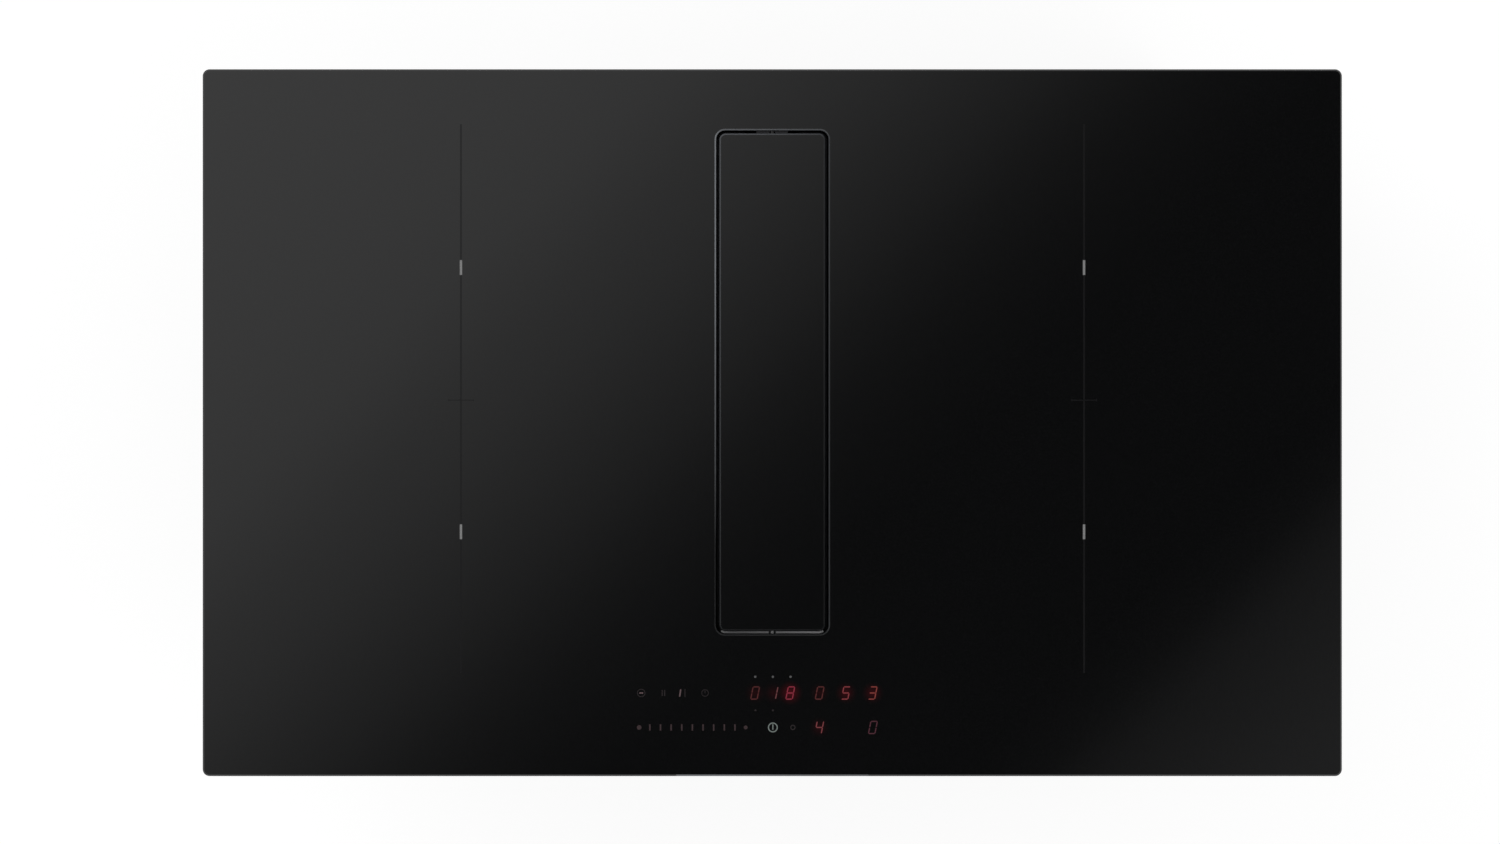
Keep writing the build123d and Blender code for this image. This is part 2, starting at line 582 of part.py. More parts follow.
def make_carrier(name, side):
    """The aluminium plate that holds the two coils of one side, with its long edges turned down."""
    with BuildPart() as carrier:
        with BuildSketch(Plane.XY.offset(CARRIER_Z)):
            with Locations((side * ZONE_X, ZONE_MIDDLE_Y)):
                Rectangle(CARRIER_WIDTH, CARRIER_DEPTH)
                with GridLocations(CARRIER_WIDTH / 2, ZONE_PITCH, 2, 2):
                    Rectangle(FERRITE_WIDTH, ZONE_PITCH / 4, mode=Mode.SUBTRACT)
        extrude(amount=CARRIER_THICKNESS)
        with BuildSketch(Plane.XY.offset(CARRIER_Z - CARRIER_LIP)):
            with Locations((side * ZONE_X, ZONE_MIDDLE_Y)):
                with GridLocations(CARRIER_WIDTH - CARRIER_THICKNESS, 1, 2, 1):
                    Rectangle(CARRIER_THICKNESS, CARRIER_DEPTH)
        extrude(amount=CARRIER_LIP)
    save(carrier, name)


for side_name, side_sign in SIDES.items():
    make_carrier(f"coil_carrier_{side_name}", side_sign)

# Z-shaped leaf springs under the carriers' corners press the coils up against the glass.
spring_height = CARRIER_Z - TRAY_FLOOR_Z
with BuildPart() as carrier_springs:
    spring_planes = [
        Plane(
            origin=(
                side * ZONE_X + x_end * (CARRIER_WIDTH / 2 - SPRING_INSET_X),
                ZONE_MIDDLE_Y + y_end * (CARRIER_DEPTH / 2 - SPRING_INSET_Y),
                TRAY_FLOOR_Z,
            ),
            x_dir=(1, 0, 0),
            z_dir=(0, -1, 0),
        )
        for side in SIDES.values()
        for x_end in (-1, 1)
        for y_end in (-1, 1)
    ]
    with BuildSketch(*spring_planes):
        with BuildLine():
            leaf = SPRING_THICKNESS / 2
            Polyline(
                (-SPRING_REACH / 2, leaf),
                (SPRING_REACH / 3, leaf),
                (-SPRING_REACH / 3, spring_height - leaf),
                (SPRING_REACH / 2, spring_height - leaf),
            )
        trace(line_width=SPRING_THICKNESS)
    extrude(amount=SPRING_WIDTH / 2, both=True)
save(carrier_springs, "carrier_springs")

# ================================================================== electronics in the tray
with BuildPart() as board_spacers:
    with BuildSketch(Plane.XY.offset(TRAY_FLOOR_Z)):
        for side in SIDES.values():
            with Locations((side * ZONE_X, ZONE_MIDDLE_Y)):
                with GridLocations(
                    BOARD_WIDTH - 2 * SPACER_INSET, BOARD_DEPTH - 2 * SPACER_INSET, 2, 2
                ):
                    RegularPolygon(SPACER_DIAMETER / 2, 6)
    extrude(amount=SPACER_HEIGHT)
save(board_spacers, "board_spacers")


def make_inverter_board(name, side):
    """The power board of one side, on its spacers."""
    with BuildPart() as board:
        with BuildSketch(Plane.XY.offset(BOARD_Z)):
            with Locations((side * ZONE_X, ZONE_MIDDLE_Y)):
                Rectangle(BOARD_WIDTH, BOARD_DEPTH)
        extrude(amount=BOARD_THICKNESS)
    save(board, name)


def make_heat_sink(name, side):
    """An extruded aluminium heat sink with upright fins along the board."""
    with BuildPart() as sink:
        with BuildSketch(Plane.XZ.offset(-ZONE_MIDDLE_Y)):
            with Locations((side * (ZONE_X - BOARD_WIDTH / 4), BOARD_TOP_Z)):
                Rectangle(HEAT_SINK_WIDTH, HEAT_SINK_BASE, align=(Align.CENTER, Align.MIN))
                with GridLocations(
                    (HEAT_SINK_WIDTH - FIN_THICKNESS) / (HEAT_SINK_FINS - 1), 1, HEAT_SINK_FINS, 1
                ):
                    Rectangle(FIN_THICKNESS, HEAT_SINK_HEIGHT, align=(Align.CENTER, Align.MIN))
        extrude(amount=HEAT_SINK_LENGTH / 2, both=True)
    save(sink, name)


for side_name, side_sign in SIDES.items():
    make_inverter_board(f"inverter_board_{side_name}", side_sign)
    make_heat_sink(f"heat_sink_{side_name}", side_sign)

with BuildPart() as power_capacitors:
    with BuildSketch(Plane.XY.offset(BOARD_TOP_Z)):
        for side in SIDES.values():
            with Locations((side * (ZONE_X + BOARD_WIDTH / 5), ZONE_MIDDLE_Y - BOARD_DEPTH / 4)):
                Circle(CAN_DIAMETER / 2)
    extrude(amount=CAN_HEIGHT)
    with BuildSketch(Plane.XY.offset(BOARD_TOP_Z)):
        for side in SIDES.values():
            with Locations((side * (ZONE_X + BOARD_WIDTH / 5), ZONE_MIDDLE_Y + BOARD_DEPTH / 4)):
                with GridLocations(FILM_CAPACITOR[0] * 1.2, FILM_CAPACITOR[1] * 1.5, 1, 3):
                    Rectangle(FILM_CAPACITOR[0], FILM_CAPACITOR[1])
    extrude(amount=FILM_CAPACITOR[2])
save(power_capacitors, "power_capacitors")

# ================================================================== touch control under the glass
with BuildPart() as control_frame:
    with BuildSketch(Plane.XY.offset(CONTROL_FRAME_Z)):
        with Locations((CONTROL_X, CONTROL_Y)):
            Rectangle(CONTROL_WIDTH + 2 * CONTROL_RIM, CONTROL_DEPTH + 2 * CONTROL_RIM)
    extrude(amount=GLASS_Z - CONTROL_FRAME_Z)
    with BuildSketch(Plane.XY.offset(CONTROL_FRAME_Z + CONTROL_RIM)):
        with Locations((CONTROL_X, CONTROL_Y)):
            Rectangle(CONTROL_WIDTH, CONTROL_DEPTH)
    extrude(amount=GLASS_Z - CONTROL_FRAME_Z, mode=Mode.SUBTRACT)
    with BuildSketch(Plane.XY.offset(TRAY_FLOOR_Z)):
        with Locations((CONTROL_X, CONTROL_Y)):
            with GridLocations(CONTROL_WIDTH - SPACER_DIAMETER, CONTROL_DEPTH - SPACER_DIAMETER, 2, 2):
                Rectangle(SPACER_DIAMETER, SPACER_DIAMETER)
    extrude(amount=CONTROL_FRAME_Z - TRAY_FLOOR_Z)
save(control_frame, "control_frame")

with BuildPart() as control_board:
    with BuildSketch(Plane.XY.offset(CONTROL_BOARD_TOP_Z - BOARD_THICKNESS)):
        with Locations((CONTROL_X, CONTROL_Y)):
            Rectangle(CONTROL_WIDTH - 2 * PLAY, CONTROL_DEPTH - 2 * PLAY)
    extrude(amount=BOARD_THICKNESS)
save(control_board, "control_board")

with BuildPart() as display_modules:
    with BuildSketch(Plane.XY.offset(CONTROL_BOARD_TOP_Z)):
        with Locations(*[(column, DISPLAY_ROW_Y) for column in DISPLAY_COLUMNS]):
            Rectangle(DISPLAY_WIDTH, DISPLAY_DEPTH)
        with Locations(*[(column, SLIDER_ROW_Y) for column in LOWER_DISPLAY_COLUMNS]):
            Rectangle(DISPLAY_WIDTH, DISPLAY_DEPTH)
    extrude(amount=CONTROL_BOARD_DROP)
save(display_modules, "display_modules")

with BuildPart() as touch_pads:
    with BuildSketch(Plane.XY.offset(CONTROL_BOARD_TOP_Z)):
        with Locations((SLIDER_X, SLIDER_ROW_Y)):
            with GridLocations(SLIDER_PAD_PITCH, 1, SLIDER_PADS, 1):
                Rectangle(SLIDER_PAD_WIDTH, TOUCH_PAD_WIDTH)
        with Locations(*[(column, DISPLAY_ROW_Y) for column in KEY_COLUMNS]):
            Rectangle(TOUCH_PAD_WIDTH, TOUCH_PAD_WIDTH)
        with Locations(*[(column, SLIDER_ROW_Y) for column in LOWER_KEY_COLUMNS]):
            Rectangle(TOUCH_PAD_WIDTH, TOUCH_PAD_WIDTH)
    extrude(amount=CONTROL_BOARD_DROP)
save(touch_pads, "touch_pads")

# ================================================================== terminal box under the tray
with BuildPart() as terminal_box:
    with BuildSketch(Plane.XY.offset(TRAY_Z - TERMINAL_BOX[2])):
        with Locations((TERMINAL_X, TERMINAL_Y)):
            Rectangle(TERMINAL_BOX[0], TERMINAL_BOX[1])
    extrude(amount=TERMINAL_BOX[2])
    with BuildSketch(Plane.XY.offset(TRAY_Z - TERMINAL_BOX[2])):
        with Locations((TERMINAL_X, TERMINAL_Y)):
            Rectangle(TERMINAL_BOX[0] - 2 * TERMINAL_WALL, TERMINAL_BOX[1] - 2 * TERMINAL_WALL)
    extrude(amount=TERMINAL_BOX[2] - TERMINAL_WALL, mode=Mode.SUBTRACT)
    with BuildSketch(Plane.XY.offset(TRAY_Z)):
        with Locations(WIRE_PASSAGE_PLACE):
            Rectangle(WIRE_PASSAGE, WIRE_PASSAGE)
    extrude(amount=-TERMINAL_WALL, mode=Mode.SUBTRACT)
    with BuildSketch(Plane.YZ.offset(TERMINAL_X - TERMINAL_BOX[0] / 2)):
        with Locations((TERMINAL_Y, TRAY_Z - TERMINAL_BOX[2] / 2)):
            Circle(GLAND_DIAMETER / 2)
    extrude(amount=TERMINAL_WALL, mode=Mode.SUBTRACT)
save(terminal_box, "terminal_box")

with BuildPart() as terminal_cover:
    with BuildSketch(Plane.XY.offset(TRAY_Z - TERMINAL_BOX[2] - TERMINAL_WALL)):
        with Locations((TERMINAL_X, TERMINAL_Y)):
            Rectangle(TERMINAL_BOX[0], TERMINAL_BOX[1])
    extrude(amount=TERMINAL_WALL)
    chamfer(terminal_cover.faces().sort_by(Axis.Z)[0].edges(), TERMINAL_WALL / 2)
save(terminal_cover, "terminal_cover")

with BuildPart() as terminal_block:
    block_width = TERMINAL_BOX[1] * 0.7
    block_top = TRAY_Z - TERMINAL_WALL
    with BuildSketch(Plane.XY.offset(block_top - TERMINAL_BOX[2] / 2)):
        with Locations((TERMINAL_X, TERMINAL_Y)):
            Rectangle(TERMINAL_BOX[0] / 5, block_width)
            with GridLocations(1, block_width / 6, 1, 5):
                Rectangle(GLAND_BORE / 3, GLAND_BORE / 3, mode=Mode.SUBTRACT)
    extrude(amount=TERMINAL_BOX[2] / 2)
save(terminal_block, "terminal_block")

# The gland in the box's outer wall: the mains lead enters through its bore.
gland_z = TRAY_Z - TERMINAL_BOX[2] / 2
with BuildPart() as cable_gland:
    gland_face_x = TERMINAL_X - TERMINAL_BOX[0] / 2
    with BuildSketch(Plane.YZ.offset(gland_face_x + TERMINAL_WALL)):
        with Locations((TERMINAL_Y, gland_z)):
            Circle(GLAND_DIAMETER / 2 - PLAY / 3)
    extrude(amount=-TERMINAL_WALL)
    with BuildSketch(Plane.YZ.offset(gland_face_x)):
        with Locations((TERMINAL_Y, gland_z)):
            RegularPolygon(GLAND_DIAMETER * 0.65, 6)
    extrude(amount=TERMINAL_WALL - GLAND_LENGTH)
    with BuildSketch(Plane.YZ.offset(gland_face_x + TERMINAL_WALL)):
        with Locations((TERMINAL_Y, gland_z)):
            Circle(GLAND_BORE / 2)
    extrude(amount=-GLAND_LENGTH, mode=Mode.SUBTRACT)
save(cable_gland, "cable_gland")


# ================================================================== cooling fans of the electronics
def make_fan_frame(name, side):
    """The square frame of a cooling fan, with the bore, the struts and the motor seat in its base."""
    with BuildPart() as fan_frame:
        with BuildSketch(Plane.XY.offset(TRAY_FLOOR_Z)):
            with Locations((side * FAN_X, FAN_Y)):
                Rectangle(FAN_SIZE, FAN_SIZE)
                Circle(FAN_BORE / 2, mode=Mode.SUBTRACT)
        extrude(amount=FAN_HEIGHT)
        with BuildSketch(Plane.XY.offset(TRAY_FLOOR_Z)):
            with Locations((side * FAN_X, FAN_Y)):
                RegularPolygon(FAN_HUB_DIAMETER / 2, 8)
                Rectangle(FAN_BORE + FAN_STRUT / 2, FAN_STRUT)
                Rectangle(FAN_STRUT, FAN_BORE + FAN_STRUT / 2)
        extrude(amount=FAN_SEAT_HEIGHT)
    save(fan_frame, name)


def make_fan_rotor(name, side):
    """The hub and the pitched blades of a cooling fan."""
    base_z = TRAY_FLOOR_Z + FAN_SEAT_HEIGHT + PLAY
    root_radius = FAN_HUB_DIAMETER / 2 - FAN_BLADE_ROOT
    tip_radius = FAN_BORE / 2 - FAN_TIP_CLEARANCE
    with BuildPart() as fan_rotor:
        with BuildSketch(Plane.XY.offset(base_z)):
            with Locations((side * FAN_X, FAN_Y)):
                Circle(FAN_HUB_DIAMETER / 2)
        extrude(amount=FAN_HUB_HEIGHT)
        with Locations((side * FAN_X, FAN_Y, base_z + FAN_HUB_HEIGHT / 2)):
            with PolarLocations((root_radius + tip_radius) / 2, FAN_BLADES):
                Box(
                    tip_radius - root_radius,
                    FAN_BLADE_CHORD,
                    FAN_BLADE_THICKNESS,
                    rotation=(FAN_BLADE_PITCH, 0, 0),
                )
    save(fan_rotor, name)


for side_name, side_sign in SIDES.items():
    make_fan_frame(f"cooling_fan_frame_{side_name}", side_sign)
    make_fan_rotor(f"cooling_fan_rotor_{side_name}", side_sign)

# ================================================================== lower housing
with BuildSketch() as plenum_plan:
    Polygon(
        (PLENUM_LEFT, PLENUM_FRONT),
        (PLENUM_STEP_X, PLENUM_FRONT),
        (PLENUM_STEP_X, PLENUM_STEP_Y),
        (PLENUM_RIGHT, PLENUM_STEP_Y),
        (PLENUM_RIGHT, PLENUM_BACK),
        (PLENUM_LEFT, PLENUM_BACK),
        align=None,
    )
    fillet(plenum_plan.vertices(), PLENUM_CORNER_RADIUS)

tank_opening = (TANK_WIDTH + 2 * TANK_SIDE_CLEARANCE, TANK_HEIGHT + 2 * PLAY)
with BuildPart() as plenum_housing:
    with BuildSketch():
        add(plenum_plan.sketch)
    extrude(amount=LID_Z)
    chamfer(plenum_housing.faces().sort_by(Axis.Z)[0].edges(), PLENUM_FLOOR / 2)
    # Upright ribs stiffen the side walls, the back wall beside the duct and the set-back front wall.
    rib_height = LID_Z - 4 * PLENUM_CORNER_RADIUS
    side_rib_pitch = (PLENUM_BACK - PLENUM_STEP_Y) / (PLENUM_SIDE_RIBS + 1)
    duct_edge_x = DUCT_CENTRE_X - DUCT_WIDTH / 2 - DUCT_FLANGE
    end_walls = (
        (PLENUM_LEFT, duct_edge_x, PLENUM_BACK + PLENUM_RIB_DEPTH / 2),
        (PLENUM_STEP_X, PLENUM_RIGHT, PLENUM_STEP_Y - PLENUM_RIB_DEPTH / 2),
    )
    with BuildSketch(Plane.XY.offset(2 * PLENUM_CORNER_RADIUS)):
        for wall_x, wall_sign in ((PLENUM_LEFT, -1), (PLENUM_RIGHT, 1)):
            with Locations((wall_x + wall_sign * PLENUM_RIB_DEPTH / 2, (PLENUM_BACK + PLENUM_STEP_Y) / 2)):
                with GridLocations(1, side_rib_pitch, 1, PLENUM_SIDE_RIBS):
                    Rectangle(PLENUM_RIB_DEPTH, PLENUM_RIB)
        for wall_start, wall_end, rib_y in end_walls:
            with Locations(((wall_start + wall_end) / 2, rib_y)):
                with GridLocations(
                    (wall_end - wall_start) / (PLENUM_END_RIBS + 1), 1, PLENUM_END_RIBS, 1
                ):
                    Rectangle(PLENUM_RIB, PLENUM_RIB_DEPTH)
    extrude(amount=rib_height)
    with BuildSketch(Plane.XY.offset(LID_Z - PLENUM_FLANGE_THICKNESS)):
        offset(plenum_plan.sketch, amount=PLENUM_FLANGE)
    extrude(amount=PLENUM_FLANGE_THICKNESS)
    with BuildSketch(Plane.XY.offset(PLENUM_FLOOR)):
        offset(plenum_plan.sketch, amount=-PLENUM_WALL)
    extrude(amount=LID_Z - PLENUM_FLOOR, mode=Mode.SUBTRACT)
    # Two rails on the floor guide the drip tank and carry the filter cradle.
    rail_length = TANK_BACK + 2 * TANK_RAIL - PLENUM_FRONT - PLENUM_WALL
    rail_spacing = TANK_WIDTH + 2 * TANK_SIDE_CLEARANCE + TANK_RAIL
    with BuildSketch(Plane.XY.offset(PLENUM_FLOOR)):
        with Locations((0, PLENUM_FRONT + PLENUM_WALL + rail_length / 2)):
            with GridLocations(rail_spacing, 1, 2, 1):
                Rectangle(TANK_RAIL, rail_length)
    extrude(amount=CRADLE_Z - PLENUM_FLOOR)
    with BuildSketch(Plane.XZ.offset(-PLENUM_FRONT)):
        with Locations((0, PLENUM_FLOOR)):
            Rectangle(*tank_opening, align=(Align.CENTER, Align.MIN))
    extrude(amount=-PLENUM_WALL, mode=Mode.SUBTRACT)
    with BuildSketch(Plane.XZ.offset(-PLENUM_BACK)):
        with Locations((DUCT_CENTRE_X, DUCT_CENTRE_Z)):
            Rectangle(DUCT_WIDTH - 2 * DUCT_WALL, SCROLL_AIR_HEIGHT)
    extrude(amount=PLENUM_WALL, mode=Mode.SUBTRACT)
save(plenum_housing, "plenum_housing")

with BuildPart() as plenum_lid:
    with BuildSketch(Plane.XY.offset(LID_Z)):
        offset(plenum_plan.sketch, amount=PLENUM_FLANGE)
        slot_rectangle(COLLAR_CLEARANCE, mode=Mode.SUBTRACT)
    extrude(amount=LID_THICKNESS)
save(plenum_lid, "plenum_lid")

# Hexagon heads under the flange clamp it and the lid to the tray's floor.
with BuildPart() as housing_screws:
    with BuildSketch(Plane.XY.offset(LID_Z - PLENUM_FLANGE_THICKNESS)):
        with Locations(*LID_SCREWS):
            RegularPolygon(SCREW_HEAD_DIAMETER / 2, 6)
    extrude(amount=-SCREW_HEAD_HEIGHT)
save(housing_screws, "housing_screws")

# ================================================================== filter shaft and odour filters
odour_outer_x = ODOUR_FILTER_INSET + ODOUR_FILTER_THICKNESS
cradle_width = 2 * (odour_outer_x + CRADLE_MARGIN)
cradle_length = SLOT_LENGTH + 2 * (COLLAR_CLEARANCE + COLLAR_WALL)

with BuildPart() as filter_shaft:
    with BuildSketch(Plane.XY.offset(SHAFT_Z)):
        slot_outline(COLLAR_CLEARANCE + COLLAR_WALL)
    extrude(amount=SHAFT_DROP)
    with BuildSketch(Plane.XY.offset(LID_Z - SHAFT_FLANGE_THICKNESS)):
        slot_rectangle(COLLAR_CLEARANCE + SHAFT_FLANGE)
    extrude(amount=SHAFT_FLANGE_THICKNESS)
    with BuildSketch(Plane.XY.offset(SHAFT_Z)):
        with Locations((0, SLOT_CENTRE_Y)):
            Rectangle(cradle_width, cradle_length)
    extrude(amount=SHAFT_FLANGE_THICKNESS)
    with BuildSketch(Plane.XY.offset(LEDGE_Z + SHAFT_FLANGE_THICKNESS)):
        slot_outline(COLLAR_CLEARANCE)
    extrude(amount=SHAFT_DROP, mode=Mode.SUBTRACT)
    # The ledge left inside the foot is what the cassette stands on.
    with BuildSketch(Plane.XY.offset(SHAFT_Z)):
        slot_rectangle(COLLAR_CLEARANCE - SHAFT_LEDGE)
    extrude(amount=SHAFT_DROP, mode=Mode.SUBTRACT)
save(filter_shaft, "filter_shaft")

# The cradle closes the filter chamber's floor and ends, and drains into the tank under it.
with BuildPart() as filter_cradle:
    with BuildSketch(Plane.XY.offset(CRADLE_Z)):
        with Locations((0, SLOT_CENTRE_Y)):
            Rectangle(cradle_width, cradle_length)
            with GridLocations(1, cradle_length / (DRAIN_SLOTS + 1), 1, DRAIN_SLOTS):
                Rectangle(ODOUR_FILTER_INSET, DRAIN_SLOT, mode=Mode.SUBTRACT)
    extrude(amount=CRADLE_FLOOR)
    with BuildSketch(Plane.XY.offset(CRADLE_TOP_Z)):
        with Locations((0, SLOT_CENTRE_Y)):
            with GridLocations(1, cradle_length - CRADLE_WALL, 1, 2):
                Rectangle(cradle_width, CRADLE_WALL)
    extrude(amount=SHAFT_Z - CRADLE_TOP_Z)
    # Low kerbs keep the odour filters in line.
    with BuildSketch(Plane.XY.offset(CRADLE_TOP_Z)):
        with Locations((0, SLOT_CENTRE_Y)):
            with GridLocations(2 * odour_outer_x + 2 * PLAY + CRADLE_WALL, 1, 2, 1):
                Rectangle(CRADLE_WALL, cradle_length)
    extrude(amount=CRADLE_MARGIN)
save(filter_cradle, "filter_cradle")


def make_odour_filter(name, side):
    """An odour filter block: a grid of bars in front of its carbon core, on both faces."""
    length = cradle_length - 2 * CRADLE_WALL - 2 * PLAY
    height = SHAFT_Z - CRADLE_TOP_Z - 2 * PLAY
    middle_z = (SHAFT_Z + CRADLE_TOP_Z) / 2
    cell_length = length / ODOUR_FILTER_CELLS
    cell_height = height / ODOUR_FILTER_ROWS
    with BuildPart() as block:
        with BuildSketch(Plane.YZ.offset(side * ODOUR_FILTER_INSET)):
            with Locations((SLOT_CENTRE_Y, middle_z)):
                Rectangle(length, height)
        extrude(amount=side * ODOUR_FILTER_THICKNESS)
        for face_x, depth in (
            (side * ODOUR_FILTER_INSET, side * ODOUR_FILTER_POCKET),
            (side * odour_outer_x, -side * ODOUR_FILTER_POCKET),
        ):
            with BuildSketch(Plane.YZ.offset(face_x)):
                with Locations((SLOT_CENTRE_Y, middle_z)):
                    with GridLocations(
                        cell_length, cell_height, ODOUR_FILTER_CELLS, ODOUR_FILTER_ROWS
                    ):
                        Rectangle(cell_length - ODOUR_FILTER_BAR, cell_height - ODOUR_FILTER_BAR)
            extrude(amount=depth, mode=Mode.SUBTRACT)
    save(block, name)


for side_name, side_sign in SIDES.items():
    make_odour_filter(f"odour_filter_{side_name}", side_sign)

# ================================================================== drip tank
tank_front_y = PLENUM_FRONT - PLAY
tank_length = TANK_BACK - tank_front_y
tank_middle_y = (TANK_BACK + tank_front_y) / 2
with BuildPart() as drip_tank:
    with BuildSketch(Plane.XY.offset(TANK_Z)):
        with Locations((0, tank_middle_y)):
            Rectangle(TANK_WIDTH, tank_length)
    extrude(amount=TANK_HEIGHT)
    fillet(drip_tank.edges().filter_by(Axis.Z).sort_by(Axis.Y)[-2:], 2 * TANK_WALL)
    with BuildSketch(Plane.XY.offset(TANK_Z + TANK_WALL)):
        with Locations((0, tank_middle_y)):
            RectangleRounded(TANK_WIDTH - 2 * TANK_WALL, tank_length - 2 * TANK_WALL, TANK_WALL)
    extrude(amount=TANK_HEIGHT, mode=Mode.SUBTRACT)
save(drip_tank, "drip_tank")

# The tank's front panel covers the opening and ends in a lip to pull.
panel_width = TANK_WIDTH + 2 * TANK_FRONT_OVERLAP
panel_height = TANK_Z + TANK_HEIGHT + TANK_FRONT_OVERLAP - TANK_FRONT_LIFT
panel_plane = Plane(origin=(0, tank_front_y, TANK_FRONT_LIFT), x_dir=(0, 1, 0), z_dir=(1, 0, 0))
with BuildPart() as drip_tank_front:
    with BuildSketch(panel_plane):
        with BuildLine():
            thick = TANK_FRONT_THICKNESS
            lip_out = TANK_LIP_REACH
            lip_in = TANK_LIP_REACH - TANK_FRONT_THICKNESS
            FilletPolyline(
                (0, 0),
                (-thick, 0),
                (-thick, panel_height - lip_in - lip_out),
                (-lip_out, panel_height - lip_in),
                (-lip_out, panel_height),
                (-lip_in, panel_height),
                (-lip_in, panel_height - thick),
                (0, panel_height - thick - lip_in),
                radius=thick / 5,
            )
            Line((0, panel_height - thick - lip_in), (0, 0))
        make_face()
    extrude(amount=panel_width / 2, both=True)
save(drip_tank_front, "drip_tank_front")

# ================================================================== blower
scroll_end_y = PLENUM_BACK - PLENUM_WALL - PLAY
scroll_right_x = DUCT_CENTRE_X + DUCT_WIDTH / 2 - DUCT_WALL
scroll_left_x = DUCT_CENTRE_X - DUCT_WIDTH / 2 + DUCT_WALL
tongue = (
    BLOWER_X + SCROLL_RADIUS * math.cos(math.radians(TONGUE_ANGLE)),
    BLOWER_Y + SCROLL_RADIUS * math.sin(math.radians(TONGUE_ANGLE)),
)
# The volute widens in three arcs, each a step larger and tangent to the one before, and then runs
# straight to the outlet. The plan runs on past the outlet, and each shell is cut off there.
with BuildSketch() as scroll_plan:
    with BuildLine():
        CenterArc(BLOWER_AXIS, SCROLL_RADIUS, TONGUE_ANGLE, 180 - TONGUE_ANGLE)
        CenterArc(
            (BLOWER_X + SCROLL_STEP, BLOWER_Y), SCROLL_RADIUS + SCROLL_STEP, 180, 90
        )
        CenterArc(
            (BLOWER_X + SCROLL_STEP, BLOWER_Y + SCROLL_STEP), SCROLL_RADIUS + 2 * SCROLL_STEP, 270, 90
        )
        Polyline(
            (scroll_right_x, BLOWER_Y + SCROLL_STEP),
            (scroll_right_x, PLENUM_BACK),
            (scroll_left_x, PLENUM_BACK),
            (scroll_left_x, scroll_end_y - DUCT_LENGTH / 4),
            tongue,
        )
    make_face()
    fillet(scroll_plan.vertices().sort_by_distance(tongue)[0], TONGUE_RADIUS)

with BuildPart() as scroll_lower:
    with BuildSketch(Plane.XY.offset(SCROLL_Z)):
        offset(scroll_plan.sketch, amount=SCROLL_WALL)
    extrude(amount=SCROLL_WALL + SCROLL_AIR_HEIGHT)
    with BuildSketch(Plane.XY.offset(SCROLL_FLOOR_Z)):
        add(scroll_plan.sketch)
    extrude(amount=SCROLL_AIR_HEIGHT, mode=Mode.SUBTRACT)
    split(bisect_by=Plane.XZ.offset(-scroll_end_y), keep=Keep.TOP)
save(scroll_lower, "scroll_lower")

with BuildPart() as scroll_upper:
    with BuildSketch(Plane.XY.offset(SCROLL_TOP_Z)):
        offset(scroll_plan.sketch, amount=SCROLL_WALL)
    extrude(amount=SCROLL_WALL)
    split(bisect_by=Plane.XZ.offset(-scroll_end_y), keep=Keep.TOP)
    with BuildSketch(Plane.XY.offset(SCROLL_TOP_Z - BELL_LIP + SCROLL_WALL)):
        with Locations(BLOWER_AXIS):
            Circle(BELL_RADIUS + SCROLL_WALL)
    extrude(amount=BELL_LIP)
    with BuildSketch(Plane.XY.offset(SCROLL_TOP_Z - BELL_LIP + SCROLL_WALL)):
        with Locations(BLOWER_AXIS):
            Circle(BELL_RADIUS)
    extrude(amount=BELL_LIP, mode=Mode.SUBTRACT)
    bell_edge = scroll_upper.faces().sort_by(Axis.Z)[-1].inner_wires()[0].edges()
    chamfer(bell_edge, SCROLL_WALL * 0.8)
save(scroll_upper, "scroll_upper")

with BuildPart() as scroll_feet:
    with BuildSketch(Plane.XY.offset(PLENUM_FLOOR)):
        with Locations(BLOWER_AXIS):
            with GridLocations(SCROLL_FOOT_SPACING, SCROLL_FOOT_SPACING, 2, 2):
                Rectangle(SCROLL_FOOT_WIDTH, SCROLL_FOOT_WIDTH)
    extrude(amount=SCROLL_FOOT_HEIGHT)
save(scroll_feet, "scroll_feet")

with BuildPart() as outlet_spigot:
    with BuildSketch(Plane.XZ.offset(-PLENUM_BACK)):
        with Locations((DUCT_CENTRE_X, DUCT_CENTRE_Z)):
            Rectangle(DUCT_WIDTH + 2 * DUCT_FLANGE, DUCT_HEIGHT + 2 * DUCT_FLANGE)
    extrude(amount=-DUCT_FLANGE_THICKNESS)
    with BuildSketch(Plane.XZ.offset(-PLENUM_BACK)):
        with Locations((DUCT_CENTRE_X, DUCT_CENTRE_Z)):
            RectangleRounded(DUCT_WIDTH, DUCT_HEIGHT, 2 * DUCT_WALL)
    extrude(amount=-DUCT_LENGTH)
    with BuildSketch(Plane.XZ.offset(-PLENUM_BACK - DUCT_LENGTH / 2)):
        with Locations((DUCT_CENTRE_X, DUCT_CENTRE_Z)):
            RectangleRounded(DUCT_WIDTH + 2 * DUCT_BEAD, DUCT_HEIGHT + 2 * DUCT_BEAD, 2 * DUCT_WALL)
    extrude(amount=-DUCT_BEAD_WIDTH)
    with BuildSketch(Plane.XZ.offset(-PLENUM_BACK)):
        with Locations((DUCT_CENTRE_X, DUCT_CENTRE_Z)):
            Rectangle(DUCT_WIDTH - 2 * DUCT_WALL, SCROLL_AIR_HEIGHT)
    extrude(amount=-DUCT_LENGTH, mode=Mode.SUBTRACT)
save(outlet_spigot, "outlet_spigot")

